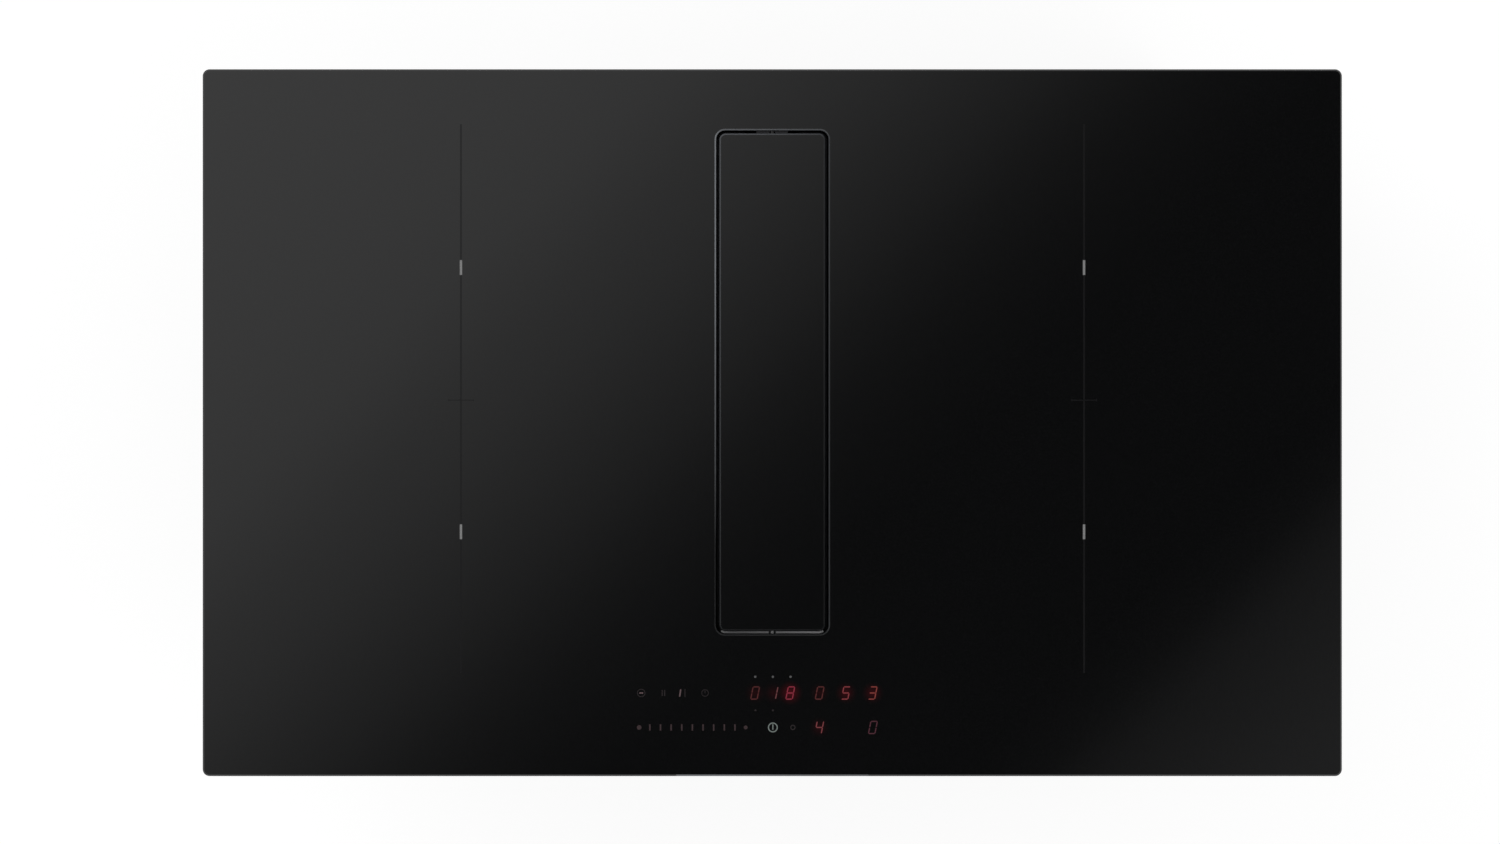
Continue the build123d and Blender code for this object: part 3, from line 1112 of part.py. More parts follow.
# The motor stands on the scroll's floor, inside the wheel: flange and bearing tube, then the stator,
# and round it the cup that turns with the shaft and the wheel.
with BuildPart() as motor_base:
    with BuildSketch(Plane.XY.offset(SCROLL_FLOOR_Z)):
        with Locations(BLOWER_AXIS):
            Rectangle(MOTOR_FLANGE_WIDTH, MOTOR_FLANGE_WIDTH)
    extrude(amount=MOTOR_FLANGE_THICKNESS)
    with BuildSketch(Plane.XY.offset(SCROLL_FLOOR_Z)):
        with Locations(BLOWER_AXIS):
            Circle(BEARING_RADIUS + TUBE_WALL)
    extrude(amount=TUBE_HEIGHT)
    with BuildSketch(Plane.XY.offset(TUBE_Z)):
        with Locations(BLOWER_AXIS):
            Circle(BEARING_RADIUS)
    extrude(amount=TUBE_HEIGHT, mode=Mode.SUBTRACT)
save(motor_base, "motor_base")

with BuildPart() as motor_bearings:
    for bearing_z in (TUBE_Z, TUBE_TOP_Z - BEARING_HEIGHT):
        with BuildSketch(Plane.XY.offset(bearing_z)):
            with Locations(BLOWER_AXIS):
                Circle(BEARING_RADIUS - RUNNING_CLEARANCE)
                Circle(SHAFT_RADIUS + RUNNING_CLEARANCE, mode=Mode.SUBTRACT)
        extrude(amount=BEARING_HEIGHT)
save(motor_bearings, "motor_bearings")

with BuildPart() as stator_core:
    with BuildSketch(Plane.XY.offset(SCROLL_FLOOR_Z + STATOR_LIFT)):
        with Locations(BLOWER_AXIS):
            Circle(STATOR_RADIUS)
            Circle(BEARING_RADIUS + TUBE_WALL + RUNNING_CLEARANCE, mode=Mode.SUBTRACT)
            with PolarLocations(STATOR_RADIUS * 0.8, STATOR_TEETH):
                Rectangle(STATOR_RADIUS * 0.5, STATOR_RADIUS * 0.12, mode=Mode.SUBTRACT)
    extrude(amount=STATOR_HEIGHT)
save(stator_core, "stator_core")

shaft_top_z = ROTOR_TOP_Z + SHAFT_RADIUS
with BuildPart() as motor_shaft:
    with BuildSketch(Plane.XY.offset(TUBE_Z + RUNNING_CLEARANCE)):
        with Locations(BLOWER_AXIS):
            Circle(SHAFT_RADIUS)
    extrude(amount=shaft_top_z - TUBE_Z - RUNNING_CLEARANCE)
save(motor_shaft, "motor_shaft")

rotor_inner = STATOR_RADIUS + ROTOR_GAP
rotor_outer = rotor_inner + ROTOR_WALL
with BuildPart() as rotor_cup:
    with BuildSketch(Plane.XY.offset(ROTOR_TOP_Z - ROTOR_HEIGHT)):
        with Locations(BLOWER_AXIS):
            Circle(rotor_outer)
            Circle(rotor_inner, mode=Mode.SUBTRACT)
    extrude(amount=ROTOR_HEIGHT)
    with BuildSketch(Plane.XY.offset(ROTOR_TOP_Z - ROTOR_WALL)):
        with Locations(BLOWER_AXIS):
            Circle(rotor_outer)
            Circle(SHAFT_RADIUS + PRESS_PLAY, mode=Mode.SUBTRACT)
    extrude(amount=ROTOR_WALL)
save(rotor_cup, "rotor_cup")

# One forward-curved blade, drawn round the wheel's own centre.
with BuildSketch() as blade_plan:
    with BuildLine():
        blade_inner = IMPELLER_EYE + IMPELLER_BLADE
        blade_outer = IMPELLER_RADIUS - IMPELLER_BLADE
        Polyline(
            (blade_inner, IMPELLER_BLADE_SWEEP[0]),
            ((blade_inner + blade_outer) / 2, IMPELLER_BLADE_SWEEP[1]),
            (blade_outer, IMPELLER_BLADE_SWEEP[2]),
        )
    trace(line_width=IMPELLER_BLADE)

# The wheel: a back plate pressed round the rotor cup, the blades and the ring that joins their tops.
with BuildPart() as impeller:
    with BuildSketch(Plane.XY.offset(IMPELLER_Z)):
        with Locations(BLOWER_AXIS):
            Circle(IMPELLER_RADIUS)
            Circle(rotor_outer + PRESS_PLAY, mode=Mode.SUBTRACT)
    extrude(amount=IMPELLER_PLATE)
    with BuildSketch(Plane.XY.offset(IMPELLER_Z + IMPELLER_PLATE)):
        with Locations(BLOWER_AXIS):
            with PolarLocations(0, IMPELLER_BLADES):
                add(blade_plan.sketch)
    extrude(amount=IMPELLER_HEIGHT - 2 * IMPELLER_PLATE)
    with BuildSketch(Plane.XY.offset(IMPELLER_Z + IMPELLER_HEIGHT - IMPELLER_PLATE)):
        with Locations(BLOWER_AXIS):
            Circle(IMPELLER_RADIUS)
            Circle(IMPELLER_EYE, mode=Mode.SUBTRACT)
    extrude(amount=IMPELLER_PLATE)
save(impeller, "impeller")

# ================================================================== grease filter cassette
# The base: a flat grating whose middle bar is the gutter under the filter.
with BuildPart() as cassette_base:
    with BuildSketch(Plane.XY.offset(CASSETTE_Z)):
        cassette_outline(0)
        with Locations((0, SLOT_CENTRE_Y)):
            Rectangle(
                CASSETTE_WIDTH - 2 * CASSETTE_FLANGE,
                CASSETTE_LENGTH - 2 * CASSETTE_FLANGE,
                mode=Mode.SUBTRACT,
            )
            Rectangle(2 * GUTTER_HALF_WIDTH, CASSETTE_LENGTH - 2 * CASSETTE_WALL)
            with GridLocations(1, CASSETTE_LENGTH / (CASSETTE_BARS + 1), 1, CASSETTE_BARS):
                Rectangle(CASSETTE_WIDTH - CASSETTE_WALL, CASSETTE_FLANGE)
    extrude(amount=CASSETTE_FLANGE_THICKNESS)
save(cassette_base, "cassette_base")

# The walls stand on the base's rim.
seat_end_y = CASSETTE_LENGTH / 2 - CASSETTE_WALL / 2
with BuildPart() as cassette_frame:
    with BuildSketch(Plane.XY.offset(CASSETTE_Z + CASSETTE_FLANGE_THICKNESS)):
        cassette_outline(0)
        cassette_outline(CASSETTE_WALL, mode=Mode.SUBTRACT)
    extrude(amount=CASSETTE_SIDE_TOP_Z - CASSETTE_Z - CASSETTE_FLANGE_THICKNESS)
    # The front wall shows beside the flap. It and a tab at the back rise to the flap's pins, which drop
    # into their open notches.
    flat_width = CASSETTE_WIDTH - 2 * (SLOT_CORNER_RADIUS - CASSETTE_END_CLEARANCE)
    for end, foot_width, side_angle in ((-1, flat_width, 90), (1, 1.5 * CASSETTE_TAB_WIDTH, 68)):
        tab_plane = Plane.XZ.offset(-(SLOT_CENTRE_Y + end * seat_end_y))
        tab_height = GLASS_Z - CASSETTE_TAB_DROP - CASSETTE_SIDE_TOP_Z + CASSETTE_FLANGE
        with BuildSketch(tab_plane):
            with Locations((0, CASSETTE_SIDE_TOP_Z - CASSETTE_FLANGE)):
                Trapezoid(foot_width, tab_height, side_angle, align=(Align.CENTER, Align.MIN))
        extrude(amount=CASSETTE_WALL / 2, both=True)
        with BuildSketch(tab_plane):
            with Locations((0, FLAP_AXIS_Z)):
                Circle(FLAP_PIN_DIAMETER / 2 + FLAP_PIN_CLEARANCE)
                Rectangle(
                    FLAP_PIN_DIAMETER + 2 * FLAP_PIN_CLEARANCE,
                    FLAP_PIN_DIAMETER * 2,
                    align=(Align.CENTER, Align.MIN),
                )
        extrude(amount=CASSETTE_WALL, both=True, mode=Mode.SUBTRACT)
save(cassette_frame, "cassette_frame")

# Two perforated panels lean together over the gutter, so that grease runs down to it.
panel_outer_x = CASSETTE_WIDTH / 2 - CASSETTE_WALL - PLAY
panel_top_z = GLASS_Z - PANEL_TOP_BELOW_GLASS
panel_run = panel_outer_x - PANEL_THICKNESS - PLAY
panel_drop = panel_top_z - CASSETTE_Z - CASSETTE_FLANGE_THICKNESS - PLAY
panel_lean = math.atan2(panel_drop, panel_run)
panel_slope = math.hypot(panel_drop, panel_run)
panel_length = CASSETTE_LENGTH - 2 * CASSETTE_WALL - 2 * PLAY
panel_corner = (SLOT_CORNER_RADIUS - CASSETTE_END_CLEARANCE - CASSETTE_WALL) / math.cos(panel_lean)


def make_grease_panel(name, side):
    """One leaning panel: a frame, and a sheet pierced by rows of slots."""
    lean = Plane(
        origin=(side * panel_outer_x, SLOT_CENTRE_Y, panel_top_z),
        x_dir=(-side * math.cos(panel_lean), 0, -math.sin(panel_lean)),
        z_dir=(-side * math.sin(panel_lean), 0, math.cos(panel_lean)),
    )
    columns_pitch = (panel_length - 2 * PANEL_FRAME) / PANEL_COLUMNS
    rows_pitch = (panel_slope - 2 * PANEL_FRAME) / PANEL_ROWS
    with BuildPart() as panel:
        with BuildSketch(lean) as panel_plan:
            with Locations((panel_slope / 2, 0)):
                Rectangle(panel_slope, panel_length)
            # The top corners clear the round corners of the cassette's walls.
            fillet(panel_plan.vertices().group_by(Axis.X)[0], panel_corner)
            with Locations((panel_slope / 2, 0)):
                with GridLocations(rows_pitch, columns_pitch, PANEL_ROWS, PANEL_COLUMNS):
                    Rectangle(PANEL_SLOT_WIDTH, PANEL_SLOT_LENGTH, mode=Mode.SUBTRACT)
        extrude(amount=PANEL_THICKNESS)
    save(panel, name)


for side_name, side_sign in SIDES.items():
    make_grease_panel(f"grease_panel_{side_name}", side_sign)

# A strap across the middle of the cassette is what a hand lifts it by.
handle_top_z = FLAP_AXIS_Z - FLAP_WIDTH / 2 - 2 * FLAP_BEVEL
with BuildPart() as filter_handle:
    handle_half = CASSETTE_WIDTH / 2 - CASSETTE_WALL
    with BuildSketch(Plane.XZ.offset(-SLOT_CENTRE_Y)):
        with BuildLine():
            strap = HANDLE_THICKNESS / 2
            FilletPolyline(
                (-handle_half + strap, handle_top_z + HANDLE_FOOT),
                (-handle_half + strap, handle_top_z - strap),
                (handle_half - strap, handle_top_z - strap),
                (handle_half - strap, handle_top_z + HANDLE_FOOT),
                radius=HANDLE_THICKNESS,
            )
        trace(line_width=HANDLE_THICKNESS)
    extrude(amount=HANDLE_WIDTH / 2, both=True)
save(filter_handle, "filter_handle")

# ================================================================== flap
with BuildPart() as flap_glass:
    with BuildSketch(Plane.XY.offset(GLASS_Z)):
        with Locations((0, SLOT_CENTRE_Y)):
            RectangleRounded(FLAP_WIDTH, FLAP_LENGTH, FLAP_CORNER_RADIUS)
    extrude(amount=GLASS_THICKNESS)
    chamfer(flap_glass.faces().sort_by(Axis.Z)[-1].edges(), FLAP_BEVEL)
save(flap_glass, "flap_glass")

# The carrier under the flap's glass: a shallow folded tray with a boss for the pin at each end.
carrier_width = FLAP_WIDTH - 2 * FLAP_CARRIER_INSET
carrier_length = FLAP_LENGTH - 2 * FLAP_CARRIER_INSET
pin_start = FLAP_LENGTH / 2 + FLAP_END_CLEARANCE + CASSETTE_WALL - FLAP_PIN_LENGTH
with BuildPart() as flap_carrier:
    with BuildSketch(Plane.XY.offset(GLASS_Z - FLAP_CARRIER_DEPTH)):
        with Locations((0, SLOT_CENTRE_Y)):
            Rectangle(carrier_width, carrier_length)
    extrude(amount=FLAP_CARRIER_DEPTH)
    with BuildSketch(Plane.XY.offset(GLASS_Z - FLAP_CARRIER_DEPTH)):
        with Locations((0, SLOT_CENTRE_Y)):
            Rectangle(
                carrier_width - 2 * FLAP_CARRIER_SHEET, carrier_length - 2 * FLAP_CARRIER_SHEET
            )
    extrude(amount=FLAP_CARRIER_DEPTH - FLAP_CARRIER_SHEET, mode=Mode.SUBTRACT)
    with BuildSketch(Plane.XY.offset(GLASS_Z - FLAP_CARRIER_DEPTH)):
        with Locations((0, SLOT_CENTRE_Y)):
            Rectangle(FLAP_CARRIER_SHEET, carrier_length - 2 * FLAP_PIN_LENGTH)
    extrude(amount=FLAP_CARRIER_DEPTH)
    with BuildSketch(Plane.XY.offset(GLASS_Z)):
        with Locations((0, SLOT_CENTRE_Y)):
            with GridLocations(1, carrier_length - FLAP_PIN_LENGTH, 1, 2):
                Rectangle(FLAP_BOSS_WIDTH, FLAP_PIN_LENGTH)
    extrude(amount=-FLAP_PIN_DEPTH - FLAP_PIN_DIAMETER / 2 - FLAP_BOSS_WALL)
    for end in (-1, 1):
        with BuildSketch(Plane.XZ.offset(-SLOT_CENTRE_Y - end * pin_start)):
            with Locations((0, FLAP_AXIS_Z)):
                Circle(FLAP_PIN_DIAMETER / 2 + PRESS_PLAY)
        extrude(amount=-end * FLAP_PIN_LENGTH, mode=Mode.SUBTRACT)
save(flap_carrier, "flap_carrier")

with BuildPart() as flap_pins:
    for end in (-1, 1):
        with BuildSketch(Plane.XZ.offset(-SLOT_CENTRE_Y - end * pin_start)):
            with Locations((0, FLAP_AXIS_Z)):
                Circle(FLAP_PIN_DIAMETER / 2)
        extrude(amount=-end * FLAP_PIN_LENGTH)
save(flap_pins, "flap_pins")
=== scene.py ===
import json
import math

import bmesh
import bpy
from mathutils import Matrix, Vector


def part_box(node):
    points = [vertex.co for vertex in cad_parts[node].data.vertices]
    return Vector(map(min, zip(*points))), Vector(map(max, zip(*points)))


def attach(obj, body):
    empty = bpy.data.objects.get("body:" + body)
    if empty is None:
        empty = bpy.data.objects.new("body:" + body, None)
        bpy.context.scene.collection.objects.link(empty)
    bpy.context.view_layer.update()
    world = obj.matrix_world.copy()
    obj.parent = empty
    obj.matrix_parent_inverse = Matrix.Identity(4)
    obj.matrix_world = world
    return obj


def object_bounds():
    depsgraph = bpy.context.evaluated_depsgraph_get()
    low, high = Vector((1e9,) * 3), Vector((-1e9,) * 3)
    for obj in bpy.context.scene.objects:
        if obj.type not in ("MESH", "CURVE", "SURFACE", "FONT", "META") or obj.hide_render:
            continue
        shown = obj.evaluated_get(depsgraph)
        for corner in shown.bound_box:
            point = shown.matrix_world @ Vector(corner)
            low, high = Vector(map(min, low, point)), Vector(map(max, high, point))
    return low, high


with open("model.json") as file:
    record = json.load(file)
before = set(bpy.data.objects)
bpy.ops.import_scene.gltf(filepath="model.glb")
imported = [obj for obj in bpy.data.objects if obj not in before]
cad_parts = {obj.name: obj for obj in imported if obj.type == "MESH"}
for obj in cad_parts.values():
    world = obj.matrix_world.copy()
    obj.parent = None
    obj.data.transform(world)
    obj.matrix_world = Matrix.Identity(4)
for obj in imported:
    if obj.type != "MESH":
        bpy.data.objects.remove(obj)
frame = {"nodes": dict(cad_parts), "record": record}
CAD_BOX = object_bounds()
NODES = frame["nodes"]
GLASS_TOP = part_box("ceramic_glass")[1].z

# ---------------------------------------------------------------- node helpers


def shader(name):
    """An empty node material with its output node."""
    material = bpy.data.materials.new(name)
    material.use_nodes = True
    tree = material.node_tree
    tree.nodes.clear()
    output = tree.nodes.new("ShaderNodeOutputMaterial")
    return material, tree, output


def link(tree, a, b):
    tree.links.new(a, b)


def coords(tree, stretch=(1.0, 1.0, 1.0), turn=(0.0, 0.0, 0.0)):
    """Object coordinates, in metres, stretched and turned."""
    place = tree.nodes.new("ShaderNodeTexCoord")
    mapping = tree.nodes.new("ShaderNodeMapping")
    mapping.inputs["Scale"].default_value = stretch
    mapping.inputs["Rotation"].default_value = turn
    link(tree, place.outputs["Object"], mapping.inputs["Vector"])
    return mapping.outputs["Vector"]


def axes(tree, kind="Object"):
    """The parts along X, Y and Z of the place, in metres, or with "Normal" of the surface's direction."""
    place = tree.nodes.new("ShaderNodeTexCoord")
    split = tree.nodes.new("ShaderNodeSeparateXYZ")
    link(tree, place.outputs[kind], split.inputs["Vector"])
    return split.outputs


def noise(tree, where, scale, detail=4.0, rough=0.55):
    node = tree.nodes.new("ShaderNodeTexNoise")
    node.inputs["Scale"].default_value = scale
    node.inputs["Detail"].default_value = detail
    node.inputs["Roughness"].default_value = rough
    link(tree, where, node.inputs["Vector"])
    return node.outputs["Fac"]


def cells(tree, where, scale, feature="F1", output="Distance"):
    node = tree.nodes.new("ShaderNodeTexVoronoi")
    node.feature = feature
    node.inputs["Scale"].default_value = scale
    link(tree, where, node.inputs["Vector"])
    return node.outputs[output]


def remap(tree, value, low, high, to_low, to_high):
    node = tree.nodes.new("ShaderNodeMapRange")
    node.inputs["From Min"].default_value = low
    node.inputs["From Max"].default_value = high
    node.inputs["To Min"].default_value = to_low
    node.inputs["To Max"].default_value = to_high
    link(tree, value, node.inputs["Value"])
    return node.outputs["Result"]


def blend_colours(tree, factor, first, second):
    """A colour between two, each a tuple or a socket."""
    node = tree.nodes.new("ShaderNodeMix")
    node.data_type = "RGBA"
    link(tree, factor, node.inputs["Factor"])
    for socket, colour in ((node.inputs["A"], first), (node.inputs["B"], second)):
        target = [s for s in node.inputs if s.name == socket.name and s.type == "RGBA"][0]
        if isinstance(colour, tuple):
            target.default_value = (*colour, 1.0)
        else:
            link(tree, colour, target)
    return [s for s in node.outputs if s.type == "RGBA"][0]


def maths(tree, operation, first, second=0.0):
    node = tree.nodes.new("ShaderNodeMath")
    node.operation = operation
    for index, value in enumerate((first, second)):
        if isinstance(value, (int, float)):
            node.inputs[index].default_value = value
        else:
            link(tree, value, node.inputs[index])
    return node.outputs["Value"]


def bump(tree, height, strength, distance):
    node = tree.nodes.new("ShaderNodeBump")
    node.inputs["Strength"].default_value = strength
    node.inputs["Distance"].default_value = distance
    link(tree, height, node.inputs["Height"])
    return node.outputs["Normal"]


def principled(tree, output, metallic=0.0, coat=0.0):
    node = tree.nodes.new("ShaderNodeBsdfPrincipled")
    node.inputs["Metallic"].default_value = metallic
    node.inputs["IOR"].default_value = 1.5
    node.inputs["Coat Weight"].default_value = coat
    node.inputs["Coat Roughness"].default_value = 0.1
    link(tree, node.outputs["BSDF"], output.inputs["Surface"])
    return node


def shade(colour, factor):
    return tuple(min(1.0, c * factor) for c in colour)


def seen_share(tree):
    """1 for what is seen directly, mirrored or through glass, and 0 where light falls on things."""
    path = tree.nodes.new("ShaderNodeLightPath")
    seen = maths(tree, "MAXIMUM", path.outputs["Is Camera Ray"], path.outputs["Is Glossy Ray"])
    return maths(tree, "MAXIMUM", seen, path.outputs["Is Transmission Ray"])


def mesh_object(name, mesh, material):
    """An object of a bmesh, in the scene and with one material. The bmesh is freed."""
    data = bpy.data.meshes.new(name)
    mesh.to_mesh(data)
    mesh.free()
    thing = bpy.data.objects.new(name, data)
    bpy.context.scene.collection.objects.link(thing)
    thing.data.materials.append(material)
    return thing


def grained(name, colour, rough, metallic=0.0, size=0.004, spread=0.12, rough_spread=0.08,
            grain=0.0006, strength=0.5, coat=0.0, tint=None):
    """Colour, sheen and surface that vary at two sizes: broad patches and a fine grain."""
    material, tree, output = shader(name)
    body = principled(tree, output, metallic=metallic, coat=coat)
    where = coords(tree)
    patches = noise(tree, where, 1.0 / (size * 12), 3.0)
    fine = noise(tree, where, 1.0 / grain, 5.0, 0.6)
    tone = maths(tree, "ADD", maths(tree, "MULTIPLY", patches, 0.7), maths(tree, "MULTIPLY", fine, 0.3))
    dark, light = shade(colour, 1.0 - spread), tint or shade(colour, 1.0 + spread)
    link(tree, blend_colours(tree, remap(tree, tone, 0.35, 0.65, 0.0, 1.0), dark, light),
         body.inputs["Base Color"])
    link(tree, remap(tree, tone, 0.3, 0.7, rough - rough_spread, rough + rough_spread),
         body.inputs["Roughness"])
    link(tree, bump(tree, fine, strength, 0.00005), body.inputs["Normal"])
    return material


# ---------------------------------------------------------------- materials of the object
EDGE_LIGHT_REACH = 0.07  # ground edges further than this from the plate's middle line get no painted highlight


def painted_edge_light_share(tree, edges):
    """How much painted highlight the ground edges round the slot get, from 0 to 1, by the way each faces
    and where along it lies. The plate's own rim gets none.

    Each edge is (axis it leans along, which way, axis it pales along, its two ends, the share at each).
    """
    where, lean = axes(tree), axes(tree, "Normal")
    near = maths(tree, "LESS_THAN", maths(tree, "ABSOLUTE", where["X"]), EDGE_LIGHT_REACH)
    squares = {axis: maths(tree, "MULTIPLY", lean[axis], lean[axis]) for axis in "XY"}
    flat = maths(tree, "ADD", squares["X"], squares["Y"])
    total = None
    for axis, way, along, low, high, at_low, at_high in edges:
        leans = maths(tree, "GREATER_THAN", maths(tree, "MULTIPLY", lean[axis], way))
        part = maths(tree, "MULTIPLY", leans, maths(tree, "DIVIDE", squares[axis], flat))
        part = maths(tree, "MULTIPLY", part, remap(tree, where[along], low, high, at_low, at_high))
        total = part if total is None else maths(tree, "ADD", total, part)
    return maths(tree, "MULTIPLY", near, total)


def glass_material(name, rim, rim_rough, edge_highlight_level=0.0, edges=(), parts=False):
    """Black glass: deep gloss with faint smears, and a paler ground edge on the bevel; where a highlight
    level is given, that edge instead gets painted highlights by the way it faces and where it lies.

    With parts it returns the material, its tree and its shader, for more to be added.
    """
    material, tree, output = shader(name)
    body = principled(tree, output)
    where = coords(tree)
    smear = noise(tree, coords(tree, (1.0, 2.4, 1.0), (0.0, 0.0, 0.6)), 3.2, 4.0, 0.6)
    speck = noise(tree, where, 900.0, 2.0)
    up = maths(tree, "ABSOLUTE", axes(tree, "Normal")["Z"])
    slanted = maths(tree, "MULTIPLY", remap(tree, up, 0.90, 0.80, 0.0, 1.0),
                    remap(tree, up, 0.40, 0.55, 0.0, 1.0))
    deep = blend_colours(tree, remap(tree, speck, 0.45, 0.7, 0.0, 1.0),
                         (0.0016, 0.0017, 0.0019), (0.0030, 0.0031, 0.0034))
    edge = blend_colours(tree, noise(tree, where, 320.0, 3.0), shade(rim, 0.75), shade(rim, 1.25))
    # Painted highlight: the ground edge is made darker or paler by the way it faces and where it lies.
    if edge_highlight_level:
        edge = blend_colours(tree, painted_edge_light_share(tree, edges), shade(rim, 0.12), shade(rim, edge_highlight_level))
    link(tree, blend_colours(tree, slanted, deep, edge), body.inputs["Base Color"])
    gloss = remap(tree, smear, 0.35, 0.7, 0.035, 0.075)
    link(tree, maths(tree, "ADD", gloss, maths(tree, "MULTIPLY", slanted, rim_rough)),
         body.inputs["Roughness"])
    return (material, tree, body) if parts else material


def brushed(name, colour, rough, along, depth=0.00002, front=None):
    """Metal brushed along one axis, and where front is given, of that colour in its front half: a painted
    highlight.
    """
    material, tree, output = shader(name)
    body = principled(tree, output, metallic=1.0)
    lines = noise(tree, coords(tree, along), 60.0, 6.0, 0.7)
    patches = noise(tree, coords(tree), 14.0, 3.0)
    tone = maths(tree, "ADD", maths(tree, "MULTIPLY", lines, 0.7), maths(tree, "MULTIPLY", patches, 0.3))
    tint = blend_colours(tree, remap(tree, tone, 0.35, 0.65, 0.0, 1.0),
                         shade(colour, 0.90), shade(colour, 1.10))
    if front:
        tint = blend_colours(tree, remap(tree, axes(tree)["Y"], -0.05, 0.05, 1.0, 0.0), tint, front)
    link(tree, tint, body.inputs["Base Color"])
    link(tree, remap(tree, tone, 0.3, 0.7, rough - 0.08, rough + 0.10), body.inputs["Roughness"])
    link(tree, bump(tree, lines, 0.35, depth), body.inputs["Normal"])
    return material


def galvanised(name):
    """Zinc-coated sheet: crystals of slightly different brightness, with fine scuffs."""
    material, tree, output = shader(name)
    body = principled(tree, output, metallic=1.0)
    where = coords(tree)
    crystals = tree.nodes.new("ShaderNodeTexVoronoi")
    crystals.inputs["Scale"].default_value = 190.0
    wobble = tree.nodes.new("ShaderNodeTexNoise")
    wobble.inputs["Scale"].default_value = 140.0
    link(tree, where, wobble.inputs["Vector"])
    shift = tree.nodes.new("ShaderNodeVectorMath")
    shift.operation = "MULTIPLY_ADD"
    shift.inputs[1].default_value = (0.004, 0.004, 0.004)
    link(tree, wobble.outputs["Color"], shift.inputs[0])
    link(tree, where, shift.inputs[2])
    link(tree, shift.outputs["Vector"], crystals.inputs["Vector"])
    tone = tree.nodes.new("ShaderNodeSeparateColor")
    link(tree, crystals.outputs["Color"], tone.inputs["Color"])
    scuff = noise(tree, coords(tree, (4.0, 60.0, 60.0)), 30.0, 5.0, 0.7)
    mixed = maths(tree, "ADD", maths(tree, "MULTIPLY", tone.outputs["Red"], 0.75),
                  maths(tree, "MULTIPLY", scuff, 0.25))
    link(tree, blend_colours(tree, mixed, (0.54, 0.55, 0.56), (0.68, 0.70, 0.71)),
         body.inputs["Base Color"])
    link(tree, remap(tree, mixed, 0.0, 1.0, 0.28, 0.50), body.inputs["Roughness"])
    link(tree, bump(tree, scuff, 0.2, 0.00003), body.inputs["Normal"])
    return material


def moulded(name, colour, rough, grain=0.0009):
    """Moulded plastic: a pebbled tool texture with soft sheen changes."""
    material, tree, output = shader(name)
    body = principled(tree, output)
    where = coords(tree)
    pebble = cells(tree, where, 1.0 / grain, "SMOOTH_F1")
    patches = noise(tree, where, 18.0, 3.0)
    link(tree, blend_colours(tree, remap(tree, patches, 0.35, 0.65, 0.0, 1.0),
                             shade(colour, 0.82), shade(colour, 1.22)), body.inputs["Base Color"])
    link(tree, maths(tree, "ADD", remap(tree, patches, 0.3, 0.7, rough - 0.07, rough + 0.07),
                     maths(tree, "MULTIPLY", pebble, 0.06)), body.inputs["Roughness"])
    link(tree, bump(tree, pebble, 0.45, 0.00006), body.inputs["Normal"])
    return material


def foam(name, colour):
    """Open foam: dark pores in a dull surface."""
    material, tree, output = shader(name)
    body = principled(tree, output)
    pores = cells(tree, coords(tree), 900.0)
    link(tree, blend_colours(tree, remap(tree, pores, 0.1, 0.7, 0.0, 1.0), shade(colour, 0.5),
                             shade(colour, 1.5)), body.inputs["Base Color"])
    link(tree, remap(tree, pores, 0.0, 1.0, 0.75, 0.95), body.inputs["Roughness"])
    link(tree, bump(tree, pores, 0.7, 0.0003), body.inputs["Normal"])
    return material


def carbon(name):
    """Pressed carbon granules."""
    material, tree, output = shader(name)
    body = principled(tree, output)
    where = coords(tree)
    grains = cells(tree, where, 520.0)
    colour = cells(tree, where, 520.0, "F1", "Color")
    pick = tree.nodes.new("ShaderNodeSeparateColor")
    link(tree, colour, pick.inputs["Color"])
    link(tree, blend_colours(tree, pick.outputs["Red"], (0.010, 0.010, 0.011), (0.055, 0.055, 0.058)),
         body.inputs["Base Color"])
    link(tree, remap(tree, pick.outputs["Green"], 0.0, 1.0, 0.35, 0.85), body.inputs["Roughness"])
    link(tree, bump(tree, grains, 0.9, 0.0006), body.inputs["Normal"])
    return material


def litz(name):
    """Twisted enamelled wire: fine slanting strands."""
    material, tree, output = shader(name)
    body = principled(tree, output, metallic=0.85)
    wave = tree.nodes.new("ShaderNodeTexWave")
    wave.wave_type = "BANDS"
    wave.bands_direction = "DIAGONAL"
    wave.inputs["Scale"].default_value = 420.0
    wave.inputs["Distortion"].default_value = 1.5
    wave.inputs["Detail"].default_value = 2.0
    link(tree, coords(tree), wave.inputs["Vector"])
    link(tree, blend_colours(tree, wave.outputs["Fac"], (0.30, 0.11, 0.045), (0.78, 0.36, 0.16)),
         body.inputs["Base Color"])
    link(tree, remap(tree, wave.outputs["Fac"], 0.0, 1.0, 0.45, 0.28), body.inputs["Roughness"])
    link(tree, bump(tree, wave.outputs["Fac"], 0.7, 0.0003), body.inputs["Normal"])
    return material


